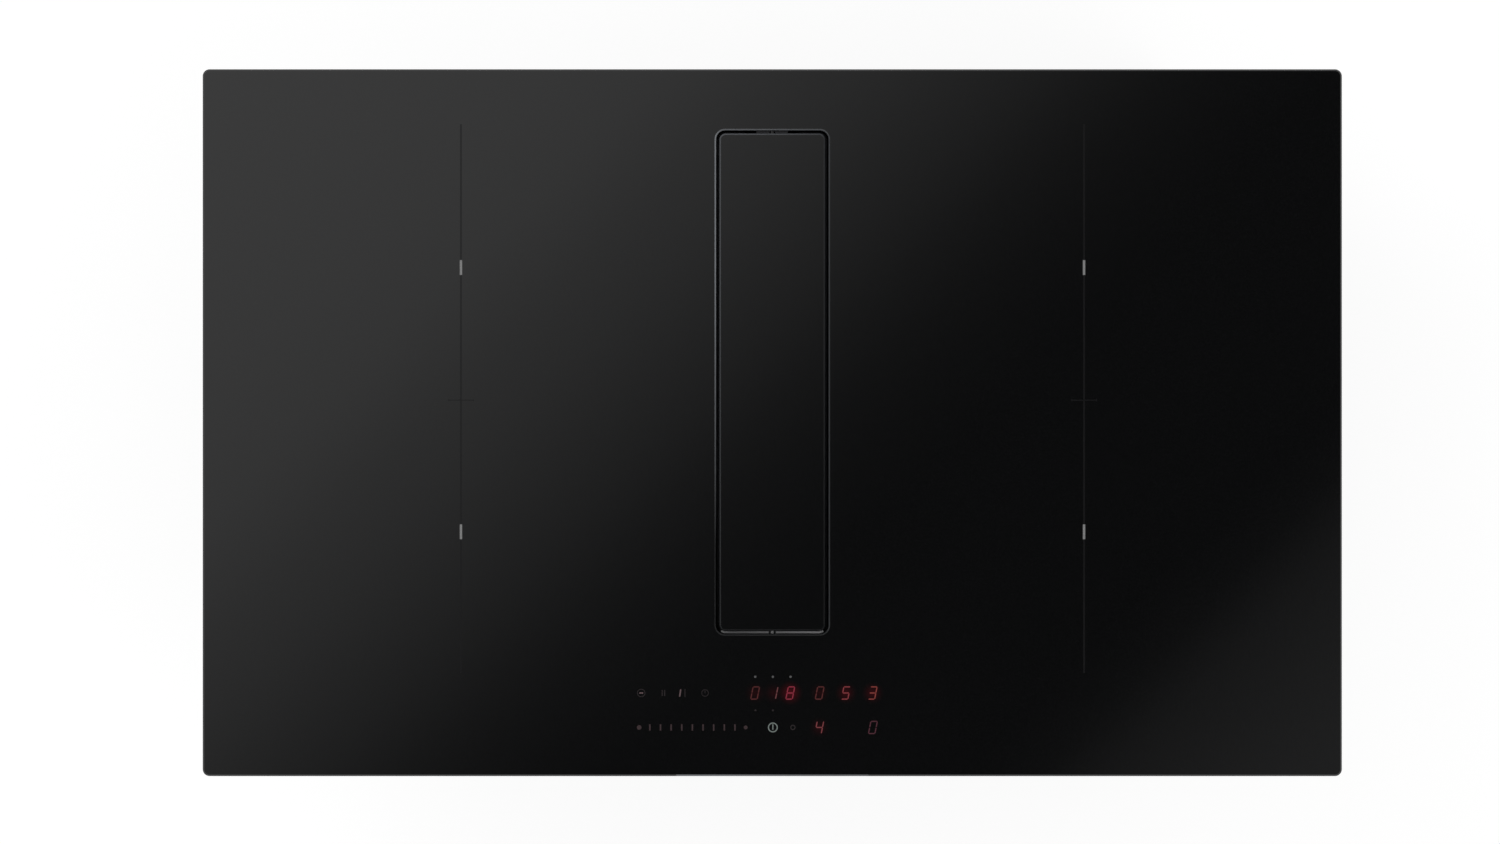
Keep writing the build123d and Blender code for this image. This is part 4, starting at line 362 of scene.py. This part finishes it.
def board(name):
    """Solder-masked board: tracks a little paler than the ground, with tinned pads."""
    material, tree, output = shader(name)
    body = principled(tree, output, coat=0.3)
    where = coords(tree)
    bricks = tree.nodes.new("ShaderNodeTexBrick")
    bricks.inputs["Scale"].default_value = 90.0
    bricks.inputs["Mortar Size"].default_value = 0.03
    bricks.inputs["Color1"].default_value = (0.012, 0.105, 0.045, 1.0)
    bricks.inputs["Color2"].default_value = (0.016, 0.130, 0.058, 1.0)
    bricks.inputs["Mortar"].default_value = (0.045, 0.240, 0.120, 1.0)
    link(tree, where, bricks.inputs["Vector"])
    pads = remap(tree, cells(tree, where, 260.0), 0.16, 0.12, 0.0, 1.0)
    link(tree, blend_colours(tree, pads, bricks.outputs["Color"], (0.62, 0.63, 0.62)),
         body.inputs["Base Color"])
    link(tree, remap(tree, pads, 0.0, 1.0, 0.35, 0.22), body.inputs["Roughness"])
    link(tree, pads, body.inputs["Metallic"])
    link(tree, bump(tree, bricks.outputs["Fac"], 0.3, 0.00003), body.inputs["Normal"])
    return material


# The painted highlights on the ground edges of the slot and of the flap, as the share function above
# reads them.
SLOT_EDGE_HIGHLIGHTS = (
    ("X", 1.0, "Y", -0.09, 0.12, 0.0, 1.0), ("X", -1.0, "Y", -0.137, 0.1765, 0.11, 0.21),
    ("Y", -1.0, "X", -0.035, 0.035, 0.54, 0.33), ("Y", 1.0, "X", -0.035, 0.035, 0.02, 0.02),
)
FLAP_EDGE_HIGHLIGHTS = (
    ("X", -1.0, "Y", -0.12, 0.19, 0.17, 0.77), ("X", 1.0, "Y", -0.09, 0.19, 0.02, 0.22),
    ("Y", 1.0, "X", -0.035, 0.035, 1.0, 0.60), ("Y", -1.0, "X", -0.035, 0.035, 0.05, 0.05),
)
MATERIALS = {
    "black_glass": glass_material("black_glass", (0.040, 0.042, 0.045), 0.16, 5.0, SLOT_EDGE_HIGHLIGHTS),
    "foam_seal": foam("foam_seal", (0.030, 0.030, 0.032)),
    "black_plastic": moulded("black_plastic", (0.022, 0.022, 0.024), 0.48),
    "galvanised_steel": galvanised("galvanised_steel"),
    "spring_steel": brushed("spring_steel", (0.55, 0.56, 0.57), 0.30, (60.0, 4.0, 60.0)),
    "screw_steel": grained("screw_steel", (0.58, 0.58, 0.55), 0.32, 1.0, grain=0.0008),
    "stainless_steel": brushed("stainless_steel", (0.66, 0.665, 0.67), 0.30, (60.0, 2.5, 60.0)),
    "bearing_steel": grained("bearing_steel", (0.74, 0.745, 0.75), 0.14, 1.0, rough_spread=0.04),
    "core_steel": brushed("core_steel", (0.22, 0.22, 0.23), 0.50, (2.0, 2.0, 90.0), 0.0001),
    "aluminium": brushed("aluminium", (0.77, 0.78, 0.79), 0.34, (60.0, 3.0, 60.0)),
    "black_anodised": brushed("black_anodised", (0.050, 0.050, 0.054), 0.42, (60.0, 3.0, 60.0)),
    "brass": grained("brass", (0.74, 0.56, 0.27), 0.28, 1.0),
    "copper_wire": litz("copper_wire"),
    "ferrite": grained("ferrite", (0.070, 0.070, 0.075), 0.62, grain=0.0004, strength=0.8),
    "mica": grained("mica", (0.62, 0.55, 0.40), 0.42, size=0.010, spread=0.22, grain=0.0015,
                    tint=(0.80, 0.74, 0.60)),
    "sensor_ceramic": grained("sensor_ceramic", (0.80, 0.79, 0.75), 0.60, spread=0.06, grain=0.0004),
    "circuit_board": board("circuit_board"),
    "capacitor_sleeve": grained("capacitor_sleeve", (0.05, 0.07, 0.20), 0.25, coat=0.3),
    "display_plastic": grained("display_plastic", (0.62, 0.62, 0.60), 0.45, spread=0.06),
    "touch_foam": foam("touch_foam", (0.11, 0.11, 0.11)),
    "terminal_plastic": moulded("terminal_plastic", (0.74, 0.73, 0.68), 0.45),
    "carbon_filter": carbon("carbon_filter"),
    "rubber": moulded("rubber", (0.018, 0.018, 0.018), 0.70, 0.0014),
}
FLAP_GLASS = glass_material("flap_black_glass", (0.022, 0.023, 0.025), 0.16, 4.0, FLAP_EDGE_HIGHLIGHTS)
# The flap's pins: dark steel, with a painted highlight on the front half.
PIN_STEEL_LIT_FRONT = brushed("pin_steel", (0.11, 0.11, 0.113), 0.50, (60.0, 4.0, 60.0),
                    front=(0.45, 0.45, 0.46))
OWN = {"flap_glass": FLAP_GLASS, "flap_pins": PIN_STEEL_LIT_FRONT}

slot_of = {part["node"]: part["material_slot"] for part in frame["record"]["subparts"]}
for node_name, thing in NODES.items():
    material = OWN.get(node_name) or MATERIALS[slot_of[node_name]]
    thing.data.materials.clear()
    thing.data.materials.append(material)


# ---------------------------------------------------------------- flat pieces on the glass
def prism_object(name, outlines, low, high, material, body="root"):
    """One object of closed flat prisms.

    Each outline is a list of (x, y), or (outer, inner) for a ring.
    """
    mesh = bmesh.new()
    for outline in outlines:
        hollow = isinstance(outline, tuple)
        loops = outline if hollow else (outline,)
        levels = [[[mesh.verts.new((x, y, z)) for x, y in loop] for loop in loops] for z in (low, high)]
        for k, loop in enumerate(loops):
            count = len(loop)
            for i in range(count):
                j = (i + 1) % count
                quad = [levels[0][k][i], levels[0][k][j], levels[1][k][j], levels[1][k][i]]
                mesh.faces.new(quad if k == 0 else quad[::-1])
        if hollow:
            count = len(loops[0])
            for i in range(count):
                j = (i + 1) % count
                mesh.faces.new([levels[1][0][i], levels[1][0][j], levels[1][1][j], levels[1][1][i]])
                mesh.faces.new([levels[0][0][j], levels[0][0][i], levels[0][1][i], levels[0][1][j]])
        else:
            mesh.faces.new(levels[1][0])
            mesh.faces.new(levels[0][0][::-1])
    bmesh.ops.recalc_face_normals(mesh, faces=mesh.faces)
    thing = mesh_object(name, mesh, material)
    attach(thing, body)
    return thing


def bar(x, y, width, height, lean=0.0):
    """A rectangle round a point, in metres, sheared sideways by lean."""
    half_w, half_h = width / 2, height / 2
    return [(x - half_w - lean * half_h, y - half_h), (x + half_w - lean * half_h, y - half_h),
            (x + half_w + lean * half_h, y + half_h), (x - half_w + lean * half_h, y + half_h)]


def disc(x, y, radius, count=20):
    angles = [2 * math.pi * i / count for i in range(count)]
    return [(x + radius * math.cos(angle), y + radius * math.sin(angle)) for angle in angles]


def ring(x, y, radius, stroke, count=32):
    return disc(x, y, radius, count), disc(x, y, radius - stroke, count)


def print_material(name, colour, rough=0.5, sheen=0.5):
    """Fired enamel print: a matte colour with tiny breaks."""
    material, tree, output = shader(name)
    body = principled(tree, output)
    body.inputs["Specular IOR Level"].default_value = sheen
    fine = noise(tree, coords(tree), 2600.0, 3.0)
    link(tree, blend_colours(tree, remap(tree, fine, 0.35, 0.65, 0.0, 1.0), shade(colour, 0.72),
                             shade(colour, 1.18)), body.inputs["Base Color"])
    link(tree, remap(tree, fine, 0.3, 0.7, rough - 0.08, rough + 0.08), body.inputs["Roughness"])
    return material


def lit_material(name, colour, strength):
    """A lit part of the display, seen through the black glass."""
    material, tree, output = shader(name)
    body = principled(tree, output)
    body.inputs["Base Color"].default_value = (0.004, 0.002, 0.002, 1.0)
    body.inputs["Roughness"].default_value = 0.06
    body.inputs["Emission Strength"].default_value = strength
    fine = noise(tree, coords(tree), 900.0, 3.0)
    link(tree, blend_colours(tree, remap(tree, fine, 0.35, 0.65, 0.0, 1.0), shade(colour, 0.72), colour),
         body.inputs["Emission Color"])
    return material


INK_LOW, INK_HIGH = GLASS_TOP + 0.000015, GLASS_TOP + 0.00004
GLOW_LOW, GLOW_HIGH = GLASS_TOP + 0.000003, GLASS_TOP + 0.000010
# Each cooking side has a long fine line with a small cross mark in its middle and two pale ticks.
ZONE_X = {-1: -0.2268, 1: 0.2271}
ZONE_LINE_Y, ZONE_LINE_WIDTH, ZONE_LINE_LENGTH = 0.0175, 0.00135, 0.3998
CROSS_Y, CROSS_ARM_X, CROSS_ARM_LENGTH, CROSS_ARM_STROKE = 0.0164, 0.00475, 0.0084, 0.0008
CROSS_END_X, CROSS_END_STROKE, CROSS_END_LENGTH = 0.0092, 0.0005, 0.0018
TICK_ROWS, TICK_WIDTH, TICK_LENGTH, TICK_RISE = (0.113, -0.0795), 0.0017, 0.0108, 0.00002

line_ink = print_material("print_dark", (0.0088, 0.0088, 0.0093), 0.12, 0.22)
tick_ink = print_material("print_pale", (0.185, 0.185, 0.185))
lines, ticks = [], []
for side in (-1, 1):
    x = ZONE_X[side]
    lines.append(bar(x, ZONE_LINE_Y, ZONE_LINE_WIDTH, ZONE_LINE_LENGTH))
    lines += [bar(x + way * CROSS_ARM_X, CROSS_Y, CROSS_ARM_LENGTH, CROSS_ARM_STROKE) for way in (-1, 1)]
    lines += [bar(x + way * CROSS_END_X, CROSS_Y, CROSS_END_STROKE, CROSS_END_LENGTH) for way in (-1, 1)]
    ticks += [bar(x, row, TICK_WIDTH, TICK_LENGTH) for row in TICK_ROWS]
prism_object("zone_lines", lines, INK_LOW, INK_HIGH, line_ink)
prism_object("zone_middle_marks", ticks, INK_HIGH, INK_HIGH + TICK_RISE, tick_ink)

# ---------------------------------------------------------------- display digits and key marks
SEGMENTS = {
    "0": "abcdef", "1": "bc", "3": "abcdg", "4": "bcfg", "5": "acdfg", "8": "abcdefg",
}
DIGIT_WIDTH, DIGIT_HEIGHT, STROKE, LEAN = 0.0055, 0.0097, 0.00082, 0.20
SEGMENT_GAP = 0.00018


def segment(x, y, horizontal, length, width):
    """One pointed segment of a digit."""
    half, tip = length / 2, width / 2
    flat = [(-half, 0), (-half + tip, -tip), (half - tip, -tip), (half, 0), (half - tip, tip),
            (-half + tip, tip)]
    if not horizontal:
        flat = [(b, a) for a, b in flat][::-1]
    return [(x + a, y + b) for a, b in flat]


def digit(x, y, figure):
    """The segments of a slanted figure, each a closed outline."""
    w, h = DIGIT_WIDTH - STROKE, DIGIT_HEIGHT - STROKE
    places = {
        "a": (0, h / 2, True), "g": (0, 0, True), "d": (0, -h / 2, True),
        "b": (w / 2, h / 4, False), "c": (w / 2, -h / 4, False),
        "f": (-w / 2, h / 4, False), "e": (-w / 2, -h / 4, False),
    }
    outlines = []
    for key in SEGMENTS[figure]:
        px, py, flat = places[key]
        outline = segment(px, py, flat, (w if flat else h / 2) - SEGMENT_GAP, STROKE)
        outlines.append([(x + a + LEAN * b, y + b) for a, b in outline])
    return outlines


ROW_1, ROW_2 = -0.1969, -0.2220
# name, x, y, figure, colour, strength, then the radius and the strength of its haze
DIGITS = [
    ("timer_tens", -0.0125, ROW_1, "0", (1.0, 0.26, 0.26), 0.085, 0.0090, 0.012),
    ("timer_ones", 0.0009, ROW_1, "1", (1.0, 0.34, 0.36), 0.145, 0.0090, 0.012),
    ("level_rear_left", 0.0131, ROW_1, "8", (1.0, 0.11, 0.19), 0.26, 0.0100, 0.060),
    ("level_fan", 0.0345, ROW_1, "0", (1.0, 0.26, 0.25), 0.090, 0.0085, 0.012),
    ("level_rear_right", 0.0536, ROW_1, "5", (1.0, 0.18, 0.21), 0.235, 0.0090, 0.030),
    ("level_front_right", 0.0731, ROW_1, "3", (1.0, 0.20, 0.17), 0.235, 0.0090, 0.030),
    ("level_front_left", 0.0342, ROW_2, "4", (1.0, 0.24, 0.27), 0.190, 0.0085, 0.014),
    ("level_warm", 0.0733, ROW_2, "0", (0.90, 0.30, 0.42), 0.090, None, None),
]
for name, x, y, figure, colour, strength, _, _ in DIGITS:
    lit = lit_material("lit_" + name, colour, strength)
    prism_object("digit_" + name, digit(x, y, figure), INK_LOW, INK_HIGH, lit)

pale_ink = print_material("print_key", (0.068, 0.068, 0.070))
faint_ink = print_material("print_faint", (0.013, 0.0085, 0.0095), 0.5, 0.3)
dim_ink = print_material("print_dim", (0.032, 0.017, 0.019), 0.5, 0.3)
bright_ink = lit_material("lit_key", (0.60, 0.70, 0.66), 0.29)

# A faint red haze round the lit figures: the glass again, in a thin sheet, with a little light of its
# own that fades out round each figure.
haze, tree, body = glass_material("display_haze", (0.02, 0.02, 0.02), 0.0, parts=True)
place = tree.nodes.new("ShaderNodeTexCoord")
glow = None
for _, x, y, _, _, _, radius, strength in DIGITS:
    if radius is None:
        continue
    far = tree.nodes.new("ShaderNodeVectorMath")
    far.operation = "DISTANCE"
    far.inputs[1].default_value = (x, y, GLASS_TOP)
    link(tree, place.outputs["Object"], far.inputs[0])
    fade = maths(tree, "POWER", remap(tree, far.outputs["Value"], 0.0, radius, 1.0, 0.0), 2.0)
    fade = maths(tree, "MULTIPLY", fade, strength)
    glow = fade if glow is None else maths(tree, "ADD", glow, fade)
body.inputs["Emission Color"].default_value = (1.0, 0.02, 0.07, 1.0)
link(tree, glow, body.inputs["Emission Strength"])
prism_object("display_haze", [bar(0.0310, -0.2100, 0.1100, 0.0460)], GLOW_LOW, GLOW_HIGH, haze)

prism_object("timer_dots", [disc(x, -0.1851, 0.00085) for x in (-0.0124, 0.0004, 0.0133)],
             INK_LOW, INK_HIGH, pale_ink)
prism_object("timer_dots_faint", [disc(x, -0.2095, 0.0007) for x in (-0.0123, 0.0005)],
             INK_LOW, INK_HIGH, faint_ink)

slider = [disc(-0.0970, ROW_2, 0.0017)]
slider += [bar(-0.0892 + 0.00775 * i, ROW_2, 0.0011, 0.0046) for i in range(9)]
slider += [disc(-0.0194, ROW_2, 0.0014)]
prism_object("slider_marks", slider, INK_LOW, INK_HIGH, dim_ink)

power = [ring(0.0004, ROW_2, 0.0036, 0.0008), bar(0.0004, ROW_2 + 0.0003, 0.0008, 0.0040)]
prism_object("power_key", power, INK_LOW, INK_HIGH, bright_ink)
prism_object("lamp_key", [ring(0.0150, ROW_2, 0.0019, 0.0007, 20)], INK_LOW, INK_HIGH, faint_ink)

key_ink = print_material("print_pink", (0.090, 0.052, 0.058))
keys = [ring(-0.0955, ROW_1, 0.0030, 0.0005), ring(-0.0490, ROW_1, 0.0026, 0.0004)]
keys += [bar(-0.0802, ROW_1, 0.0007, 0.0044), bar(-0.0784, ROW_1, 0.0007, 0.0044)]
keys += [bar(-0.0636, ROW_1, 0.0006, 0.0056), bar(-0.0490, ROW_1 + 0.0009, 0.0005, 0.0020)]
prism_object("function_keys", keys, INK_LOW, INK_HIGH, faint_ink)
key_marks = [bar(-0.0955, ROW_1, 0.0028, 0.0010), bar(-0.0671, ROW_1, 0.0010, 0.0052, 0.15)]
prism_object("function_key_marks", key_marks, INK_LOW, INK_HIGH, key_ink)


# ---------------------------------------------------------------- fasteners and trims
def around(normal):
    """Two directions at right angles to a normal."""
    first = Vector((0, 0, 1)).cross(normal) if abs(normal.z) < 0.5 else Vector((1, 0, 0))
    first.normalize()
    return first, normal.cross(first)


def screws(name, normal, places, radius, body="root"):
    """Hexagon screws with a washer face, all pointing one way. Each is one closed turned form."""
    normal = Vector(normal)
    first, second = around(normal)
    steps = 24
    mesh = bmesh.new()
    # (reach, height, hexagon) of each ring from the seat up, in parts of the radius
    profile = [(1.0, -0.02, 0), (1.0, 0.14, 0), (0.86, 0.22, 0), (0.66, 0.24, 1), (0.66, 0.74, 1),
               (0.56, 0.82, 0), (0.30, 0.82, 0), (0.24, 0.72, 0)]
    for place in places:
        place = Vector(place)
        rings = []
        for reach, height, hexagon in profile:
            loop = []
            for i in range(steps):
                angle = 2 * math.pi * i / steps
                corner = (angle + math.pi / 6) % (math.pi / 3) - math.pi / 6
                far = radius * reach / (math.cos(corner) if hexagon else 1.0)
                outward = math.cos(angle) * first + math.sin(angle) * second
                loop.append(mesh.verts.new(place + far * outward + radius * height * normal))
            rings.append(loop)
        for low, high in zip(rings, rings[1:]):
            for i in range(steps):
                j = (i + 1) % steps
                mesh.faces.new([low[i], low[j], high[j], high[i]])
        mesh.faces.new(rings[0][::-1])
        mesh.faces.new(rings[-1])
    bmesh.ops.recalc_face_normals(mesh, faces=mesh.faces)
    thing = mesh_object(name, mesh, MATERIALS["screw_steel"])
    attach(thing, body)
    return thing


def corners(x, y, half_x, half_y):
    """The four corners of a rectangle round a point."""
    return [(x + i * half_x, y + j * half_y) for i in (-1, 1) for j in (-1, 1)]


FAN_SCREW_REACH, FAN_SCREW_RADIUS = 0.0357, 0.0036
COVER_SCREW_REACH, COVER_SCREW_RADIUS = (0.0490, 0.0290), 0.0034
SPIGOT_FLANGE, SPIGOT_INSET, SPIGOT_SCREW_RADIUS = 0.0025, 0.0030, 0.0027
SPIGOT_PITCH_X, SPIGOT_PITCH_Z = 0.060, 0.028
CLIP_LEAF, CLIP_PLACE_Y, CLIP_SCREW_REACH = 0.0008, 0.150, 0.0065
CLIP_SCREW_DROP, CLIP_SCREW_RADIUS = 0.0042, 0.0030

tray_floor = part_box("plenum_lid")[1].z
for fan in ("left", "right"):
    low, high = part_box("cooling_fan_frame_" + fan)
    middle = (low + high) / 2
    spots = corners(middle.x, middle.y, FAN_SCREW_REACH, FAN_SCREW_REACH)
    screws("fan_screws_" + fan, (0, 0, -1), [(x, y, tray_floor) for x, y in spots], FAN_SCREW_RADIUS)

low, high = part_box("terminal_cover")
middle = (low + high) / 2
spots = corners(middle.x, middle.y, *COVER_SCREW_REACH)
screws("terminal_cover_screws", (0, 0, -1), [(x, y, low.z) for x, y in spots], COVER_SCREW_RADIUS)

low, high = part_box("outlet_spigot")
middle = (low + high) / 2
flange_y = low.y + SPIGOT_FLANGE
spots = [(x, middle.z + k * SPIGOT_PITCH_Z)
         for x in (low.x + SPIGOT_INSET, high.x - SPIGOT_INSET) for k in (-1, 0, 1)]
spots += [(middle.x + k * SPIGOT_PITCH_X, z)
          for k in (-1, 0, 1) for z in (low.z + SPIGOT_INSET, high.z - SPIGOT_INSET)]
screws("spigot_screws", (0, 1, 0), [(x, flange_y, z) for x, z in spots], SPIGOT_SCREW_RADIUS)

low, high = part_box("hob_casing")
clip_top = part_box("worktop_clips")[1].z
for name, wall_x, way in (("left", low.x - CLIP_LEAF, -1), ("right", high.x + CLIP_LEAF, 1)):
    spots = [(wall_x, end * CLIP_PLACE_Y + k * CLIP_SCREW_REACH, clip_top - CLIP_SCREW_DROP)
             for end in (-1, 1) for k in (-1, 1)]
    screws("clip_screws_" + name, (way, 0, 0), spots, CLIP_SCREW_RADIUS)

# A pale satin strip, a painted highlight, lies on the front wall of the filter cassette, on both sides of
# the flap's pin, and follows the wall a little way round its corners. It is paler towards the right,
# which is painted light too.
TRIM_HIGHLIGHT_COLOUR = (0.25, 0.25, 0.255)
TRIM_INNER, TRIM_OUTER = 0.0002, 0.0016
TRIM_START, TRIM_SUNK, TRIM_RISE = 0.0026, 0.00005, 0.00035
CORNER_X, CORNER_RADIUS, CORNER_STEPS, CORNER_STEP_DEGREES = 0.0340, 0.0062, 7, 6.0
trim, tree, output = shader("front_trim")
body = principled(tree, output)
grain = noise(tree, coords(tree, (6.0, 90.0, 90.0)), 40.0, 5.0, 0.7)
# Painted highlight: the strip grows paler from left to right.
share = remap(tree, axes(tree)["X"], -0.020, 0.034, 0.0, 1.0)
share = maths(tree, "ADD", share, remap(tree, grain, 0.35, 0.65, -0.08, 0.08))
link(tree, blend_colours(tree, share, shade(TRIM_HIGHLIGHT_COLOUR, 0.76), shade(TRIM_HIGHLIGHT_COLOUR, 1.60)),
     body.inputs["Base Color"])
link(tree, remap(tree, grain, 0.3, 0.7, 0.42, 0.58), body.inputs["Roughness"])
low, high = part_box("cassette_frame")


def trim_line(side, inset):
    """The cassette's front outline from the pin to part way round a corner, this far inside it."""
    line = [(side * TRIM_START, low.y + inset)]
    for step in range(CORNER_STEPS):
        angle = math.radians(CORNER_STEP_DEGREES * step)
        line.append((side * (CORNER_X + (CORNER_RADIUS - inset) * math.sin(angle)),
                     low.y + CORNER_RADIUS - (CORNER_RADIUS - inset) * math.cos(angle)))
    return line


strips = [trim_line(side, TRIM_INNER) + trim_line(side, TRIM_OUTER)[::-1] for side in (-1, 1)]
prism_object("cassette_front_highlight", strips, high.z - TRIM_SUNK, high.z + TRIM_RISE, trim,
             "filter_cassette")

# ---------------------------------------------------------------- stage
# The floor is a pale sheet that shows nearly white, keeps a faint shadow and is clear from below.
FLOOR_GREY, FLOOR_WHITE, FLOOR_WHITE_SHARE = 0.90, 1.07, 0.80
FLOOR_HALF, FLOOR_DROP = 14.0, 0.0003
stage_material, tree, output = shader("stage_floor")
seen = seen_share(tree)
plain = tree.nodes.new("ShaderNodeBsdfDiffuse")
plain.inputs["Color"].default_value = (FLOOR_GREY, FLOOR_GREY, FLOOR_GREY, 1.0)
white = tree.nodes.new("ShaderNodeEmission")
white.inputs["Color"].default_value = (1.0, 1.0, 1.0, 1.0)
white.inputs["Strength"].default_value = FLOOR_WHITE
partly = tree.nodes.new("ShaderNodeMixShader")
partly.inputs["Fac"].default_value = FLOOR_WHITE_SHARE
link(tree, plain.outputs["BSDF"], partly.inputs[1])
link(tree, white.outputs["Emission"], partly.inputs[2])
chosen = tree.nodes.new("ShaderNodeMixShader")
link(tree, seen, chosen.inputs["Fac"])
link(tree, plain.outputs["BSDF"], chosen.inputs[1])
link(tree, partly.outputs["Shader"], chosen.inputs[2])
facing = tree.nodes.new("ShaderNodeNewGeometry")
clear = tree.nodes.new("ShaderNodeBsdfTransparent")
one_sided = tree.nodes.new("ShaderNodeMixShader")
link(tree, facing.outputs["Backfacing"], one_sided.inputs["Fac"])
link(tree, chosen.outputs["Shader"], one_sided.inputs[1])
link(tree, clear.outputs["BSDF"], one_sided.inputs[2])
link(tree, one_sided.outputs["Shader"], output.inputs["Surface"])


def sheet(name, half_x, half_y, place, material):
    """A flat sheet of the studio, which isn't part of the object."""
    mesh = bmesh.new()
    mesh.faces.new([mesh.verts.new((x, y, 0.0)) for x, y in bar(0.0, 0.0, 2 * half_x, 2 * half_y)])
    thing = mesh_object(name, mesh, material)
    thing.location = place
    return thing


sheet("stage_floor", FLOOR_HALF, FLOOR_HALF, (0.0, 0.0, CAD_BOX[0][2] - FLOOR_DROP), stage_material)

# The card over the cooktop is only there to be mirrored by the glass: bright at its back left corner,
# dark across the middle and a little paler again at its front right corner.
CARD_HALF_X, CARD_HALF_Y, CARD_RISE = 0.95, 0.80, 1.6
card_material, tree, output = shader("stage_card")
spot = axes(tree)
across = maths(tree, "SUBTRACT", spot["X"], spot["Y"])
ramp = tree.nodes.new("ShaderNodeValToRGB")
ramp.color_ramp.interpolation = "LINEAR"
# (x less y on the card, in metres, brightness there)
CARD_LEVELS = [
    (-0.90, 1.06), (-0.68, 0.95), (-0.55, 0.88), (-0.44, 0.79), (-0.33, 0.60), (-0.25, 0.50),
    (-0.15, 0.35), (-0.08, 0.255), (-0.016, 0.165), (0.05, 0.105), (0.12, 0.07), (0.20, 0.047),
    (0.53, 0.040), (0.60, 0.065), (0.67, 0.16), (0.75, 0.22), (0.86, 0.29), (1.0, 0.32),
]
elements = ramp.color_ramp.elements
while len(elements) < len(CARD_LEVELS):
    elements.new(0.5)
for element, (place_across, level) in zip(elements, CARD_LEVELS):
    element.position = (place_across + 1.0) / 2
    element.color = (level, level, level, 1.0)
link(tree, remap(tree, across, -1.0, 1.0, 0.0, 1.0), ramp.inputs["Fac"])
light = tree.nodes.new("ShaderNodeEmission")
light.inputs["Strength"].default_value = 1.0
link(tree, ramp.outputs["Color"], light.inputs["Color"])
link(tree, light.outputs["Emission"], output.inputs["Surface"])

card = sheet("stage_card", CARD_HALF_X, CARD_HALF_Y, (0.0, 0.0, GLASS_TOP + CARD_RISE), card_material)
card.visible_camera = False
card.visible_diffuse = False
card.visible_shadow = False
card.visible_transmission = False
card.visible_volume_scatter = False

# ---------------------------------------------------------------- light and camera
SKY_LIGHT, SKY_SEEN = 0.70, 1.0
EYE_HEIGHT, EYE_X, EYE_Y = 5.0, -0.01624, 0.0005  # over the glass
VIEW_WIDTH, SENSOR_WIDTH = 1.0927, 36.0

world = bpy.data.worlds.new("studio")
bpy.context.scene.world = world
world.use_nodes = True
tree = world.node_tree
tree.nodes.clear()
output = tree.nodes.new("ShaderNodeOutputWorld")
sky = tree.nodes.new("ShaderNodeBackground")
sky.inputs["Color"].default_value = (1.0, 1.0, 1.0, 1.0)
link(tree, remap(tree, seen_share(tree), 0.0, 1.0, SKY_LIGHT, SKY_SEEN), sky.inputs["Strength"])
link(tree, sky.outputs["Background"], output.inputs["Surface"])


def lamp(name, place, size, energy):
    """A soft square lamp that points at the object's middle and isn't mirrored."""
    data = bpy.data.lights.new(name, "AREA")
    data.shape = "SQUARE"
    data.size = size
    data.energy = energy
    thing = bpy.data.objects.new(name, data)
    thing.location = place
    thing.rotation_euler = (Vector(place) - Vector((0, 0, 0.1))).to_track_quat("Z", "Y").to_euler()
    thing.visible_glossy = False
    bpy.context.scene.collection.objects.link(thing)


lamp("lamp_left", (-2.1, 1.7, 2.6), 2.0, 34.0)
lamp("lamp_right", (2.4, -1.5, 2.2), 2.0, 24.0)

camera_data = bpy.data.cameras.new("camera")
camera_data.sensor_width = SENSOR_WIDTH
camera_data.lens = SENSOR_WIDTH * EYE_HEIGHT / VIEW_WIDTH
camera_data.clip_end = 60.0
camera = bpy.data.objects.new("camera", camera_data)
camera.location = (EYE_X, EYE_Y, GLASS_TOP + EYE_HEIGHT)
camera.rotation_euler = (0.0, 0.0, 0.0)
bpy.context.scene.collection.objects.link(camera)
bpy.context.scene.camera = camera
bpy.context.scene.view_settings.view_transform = "Standard"
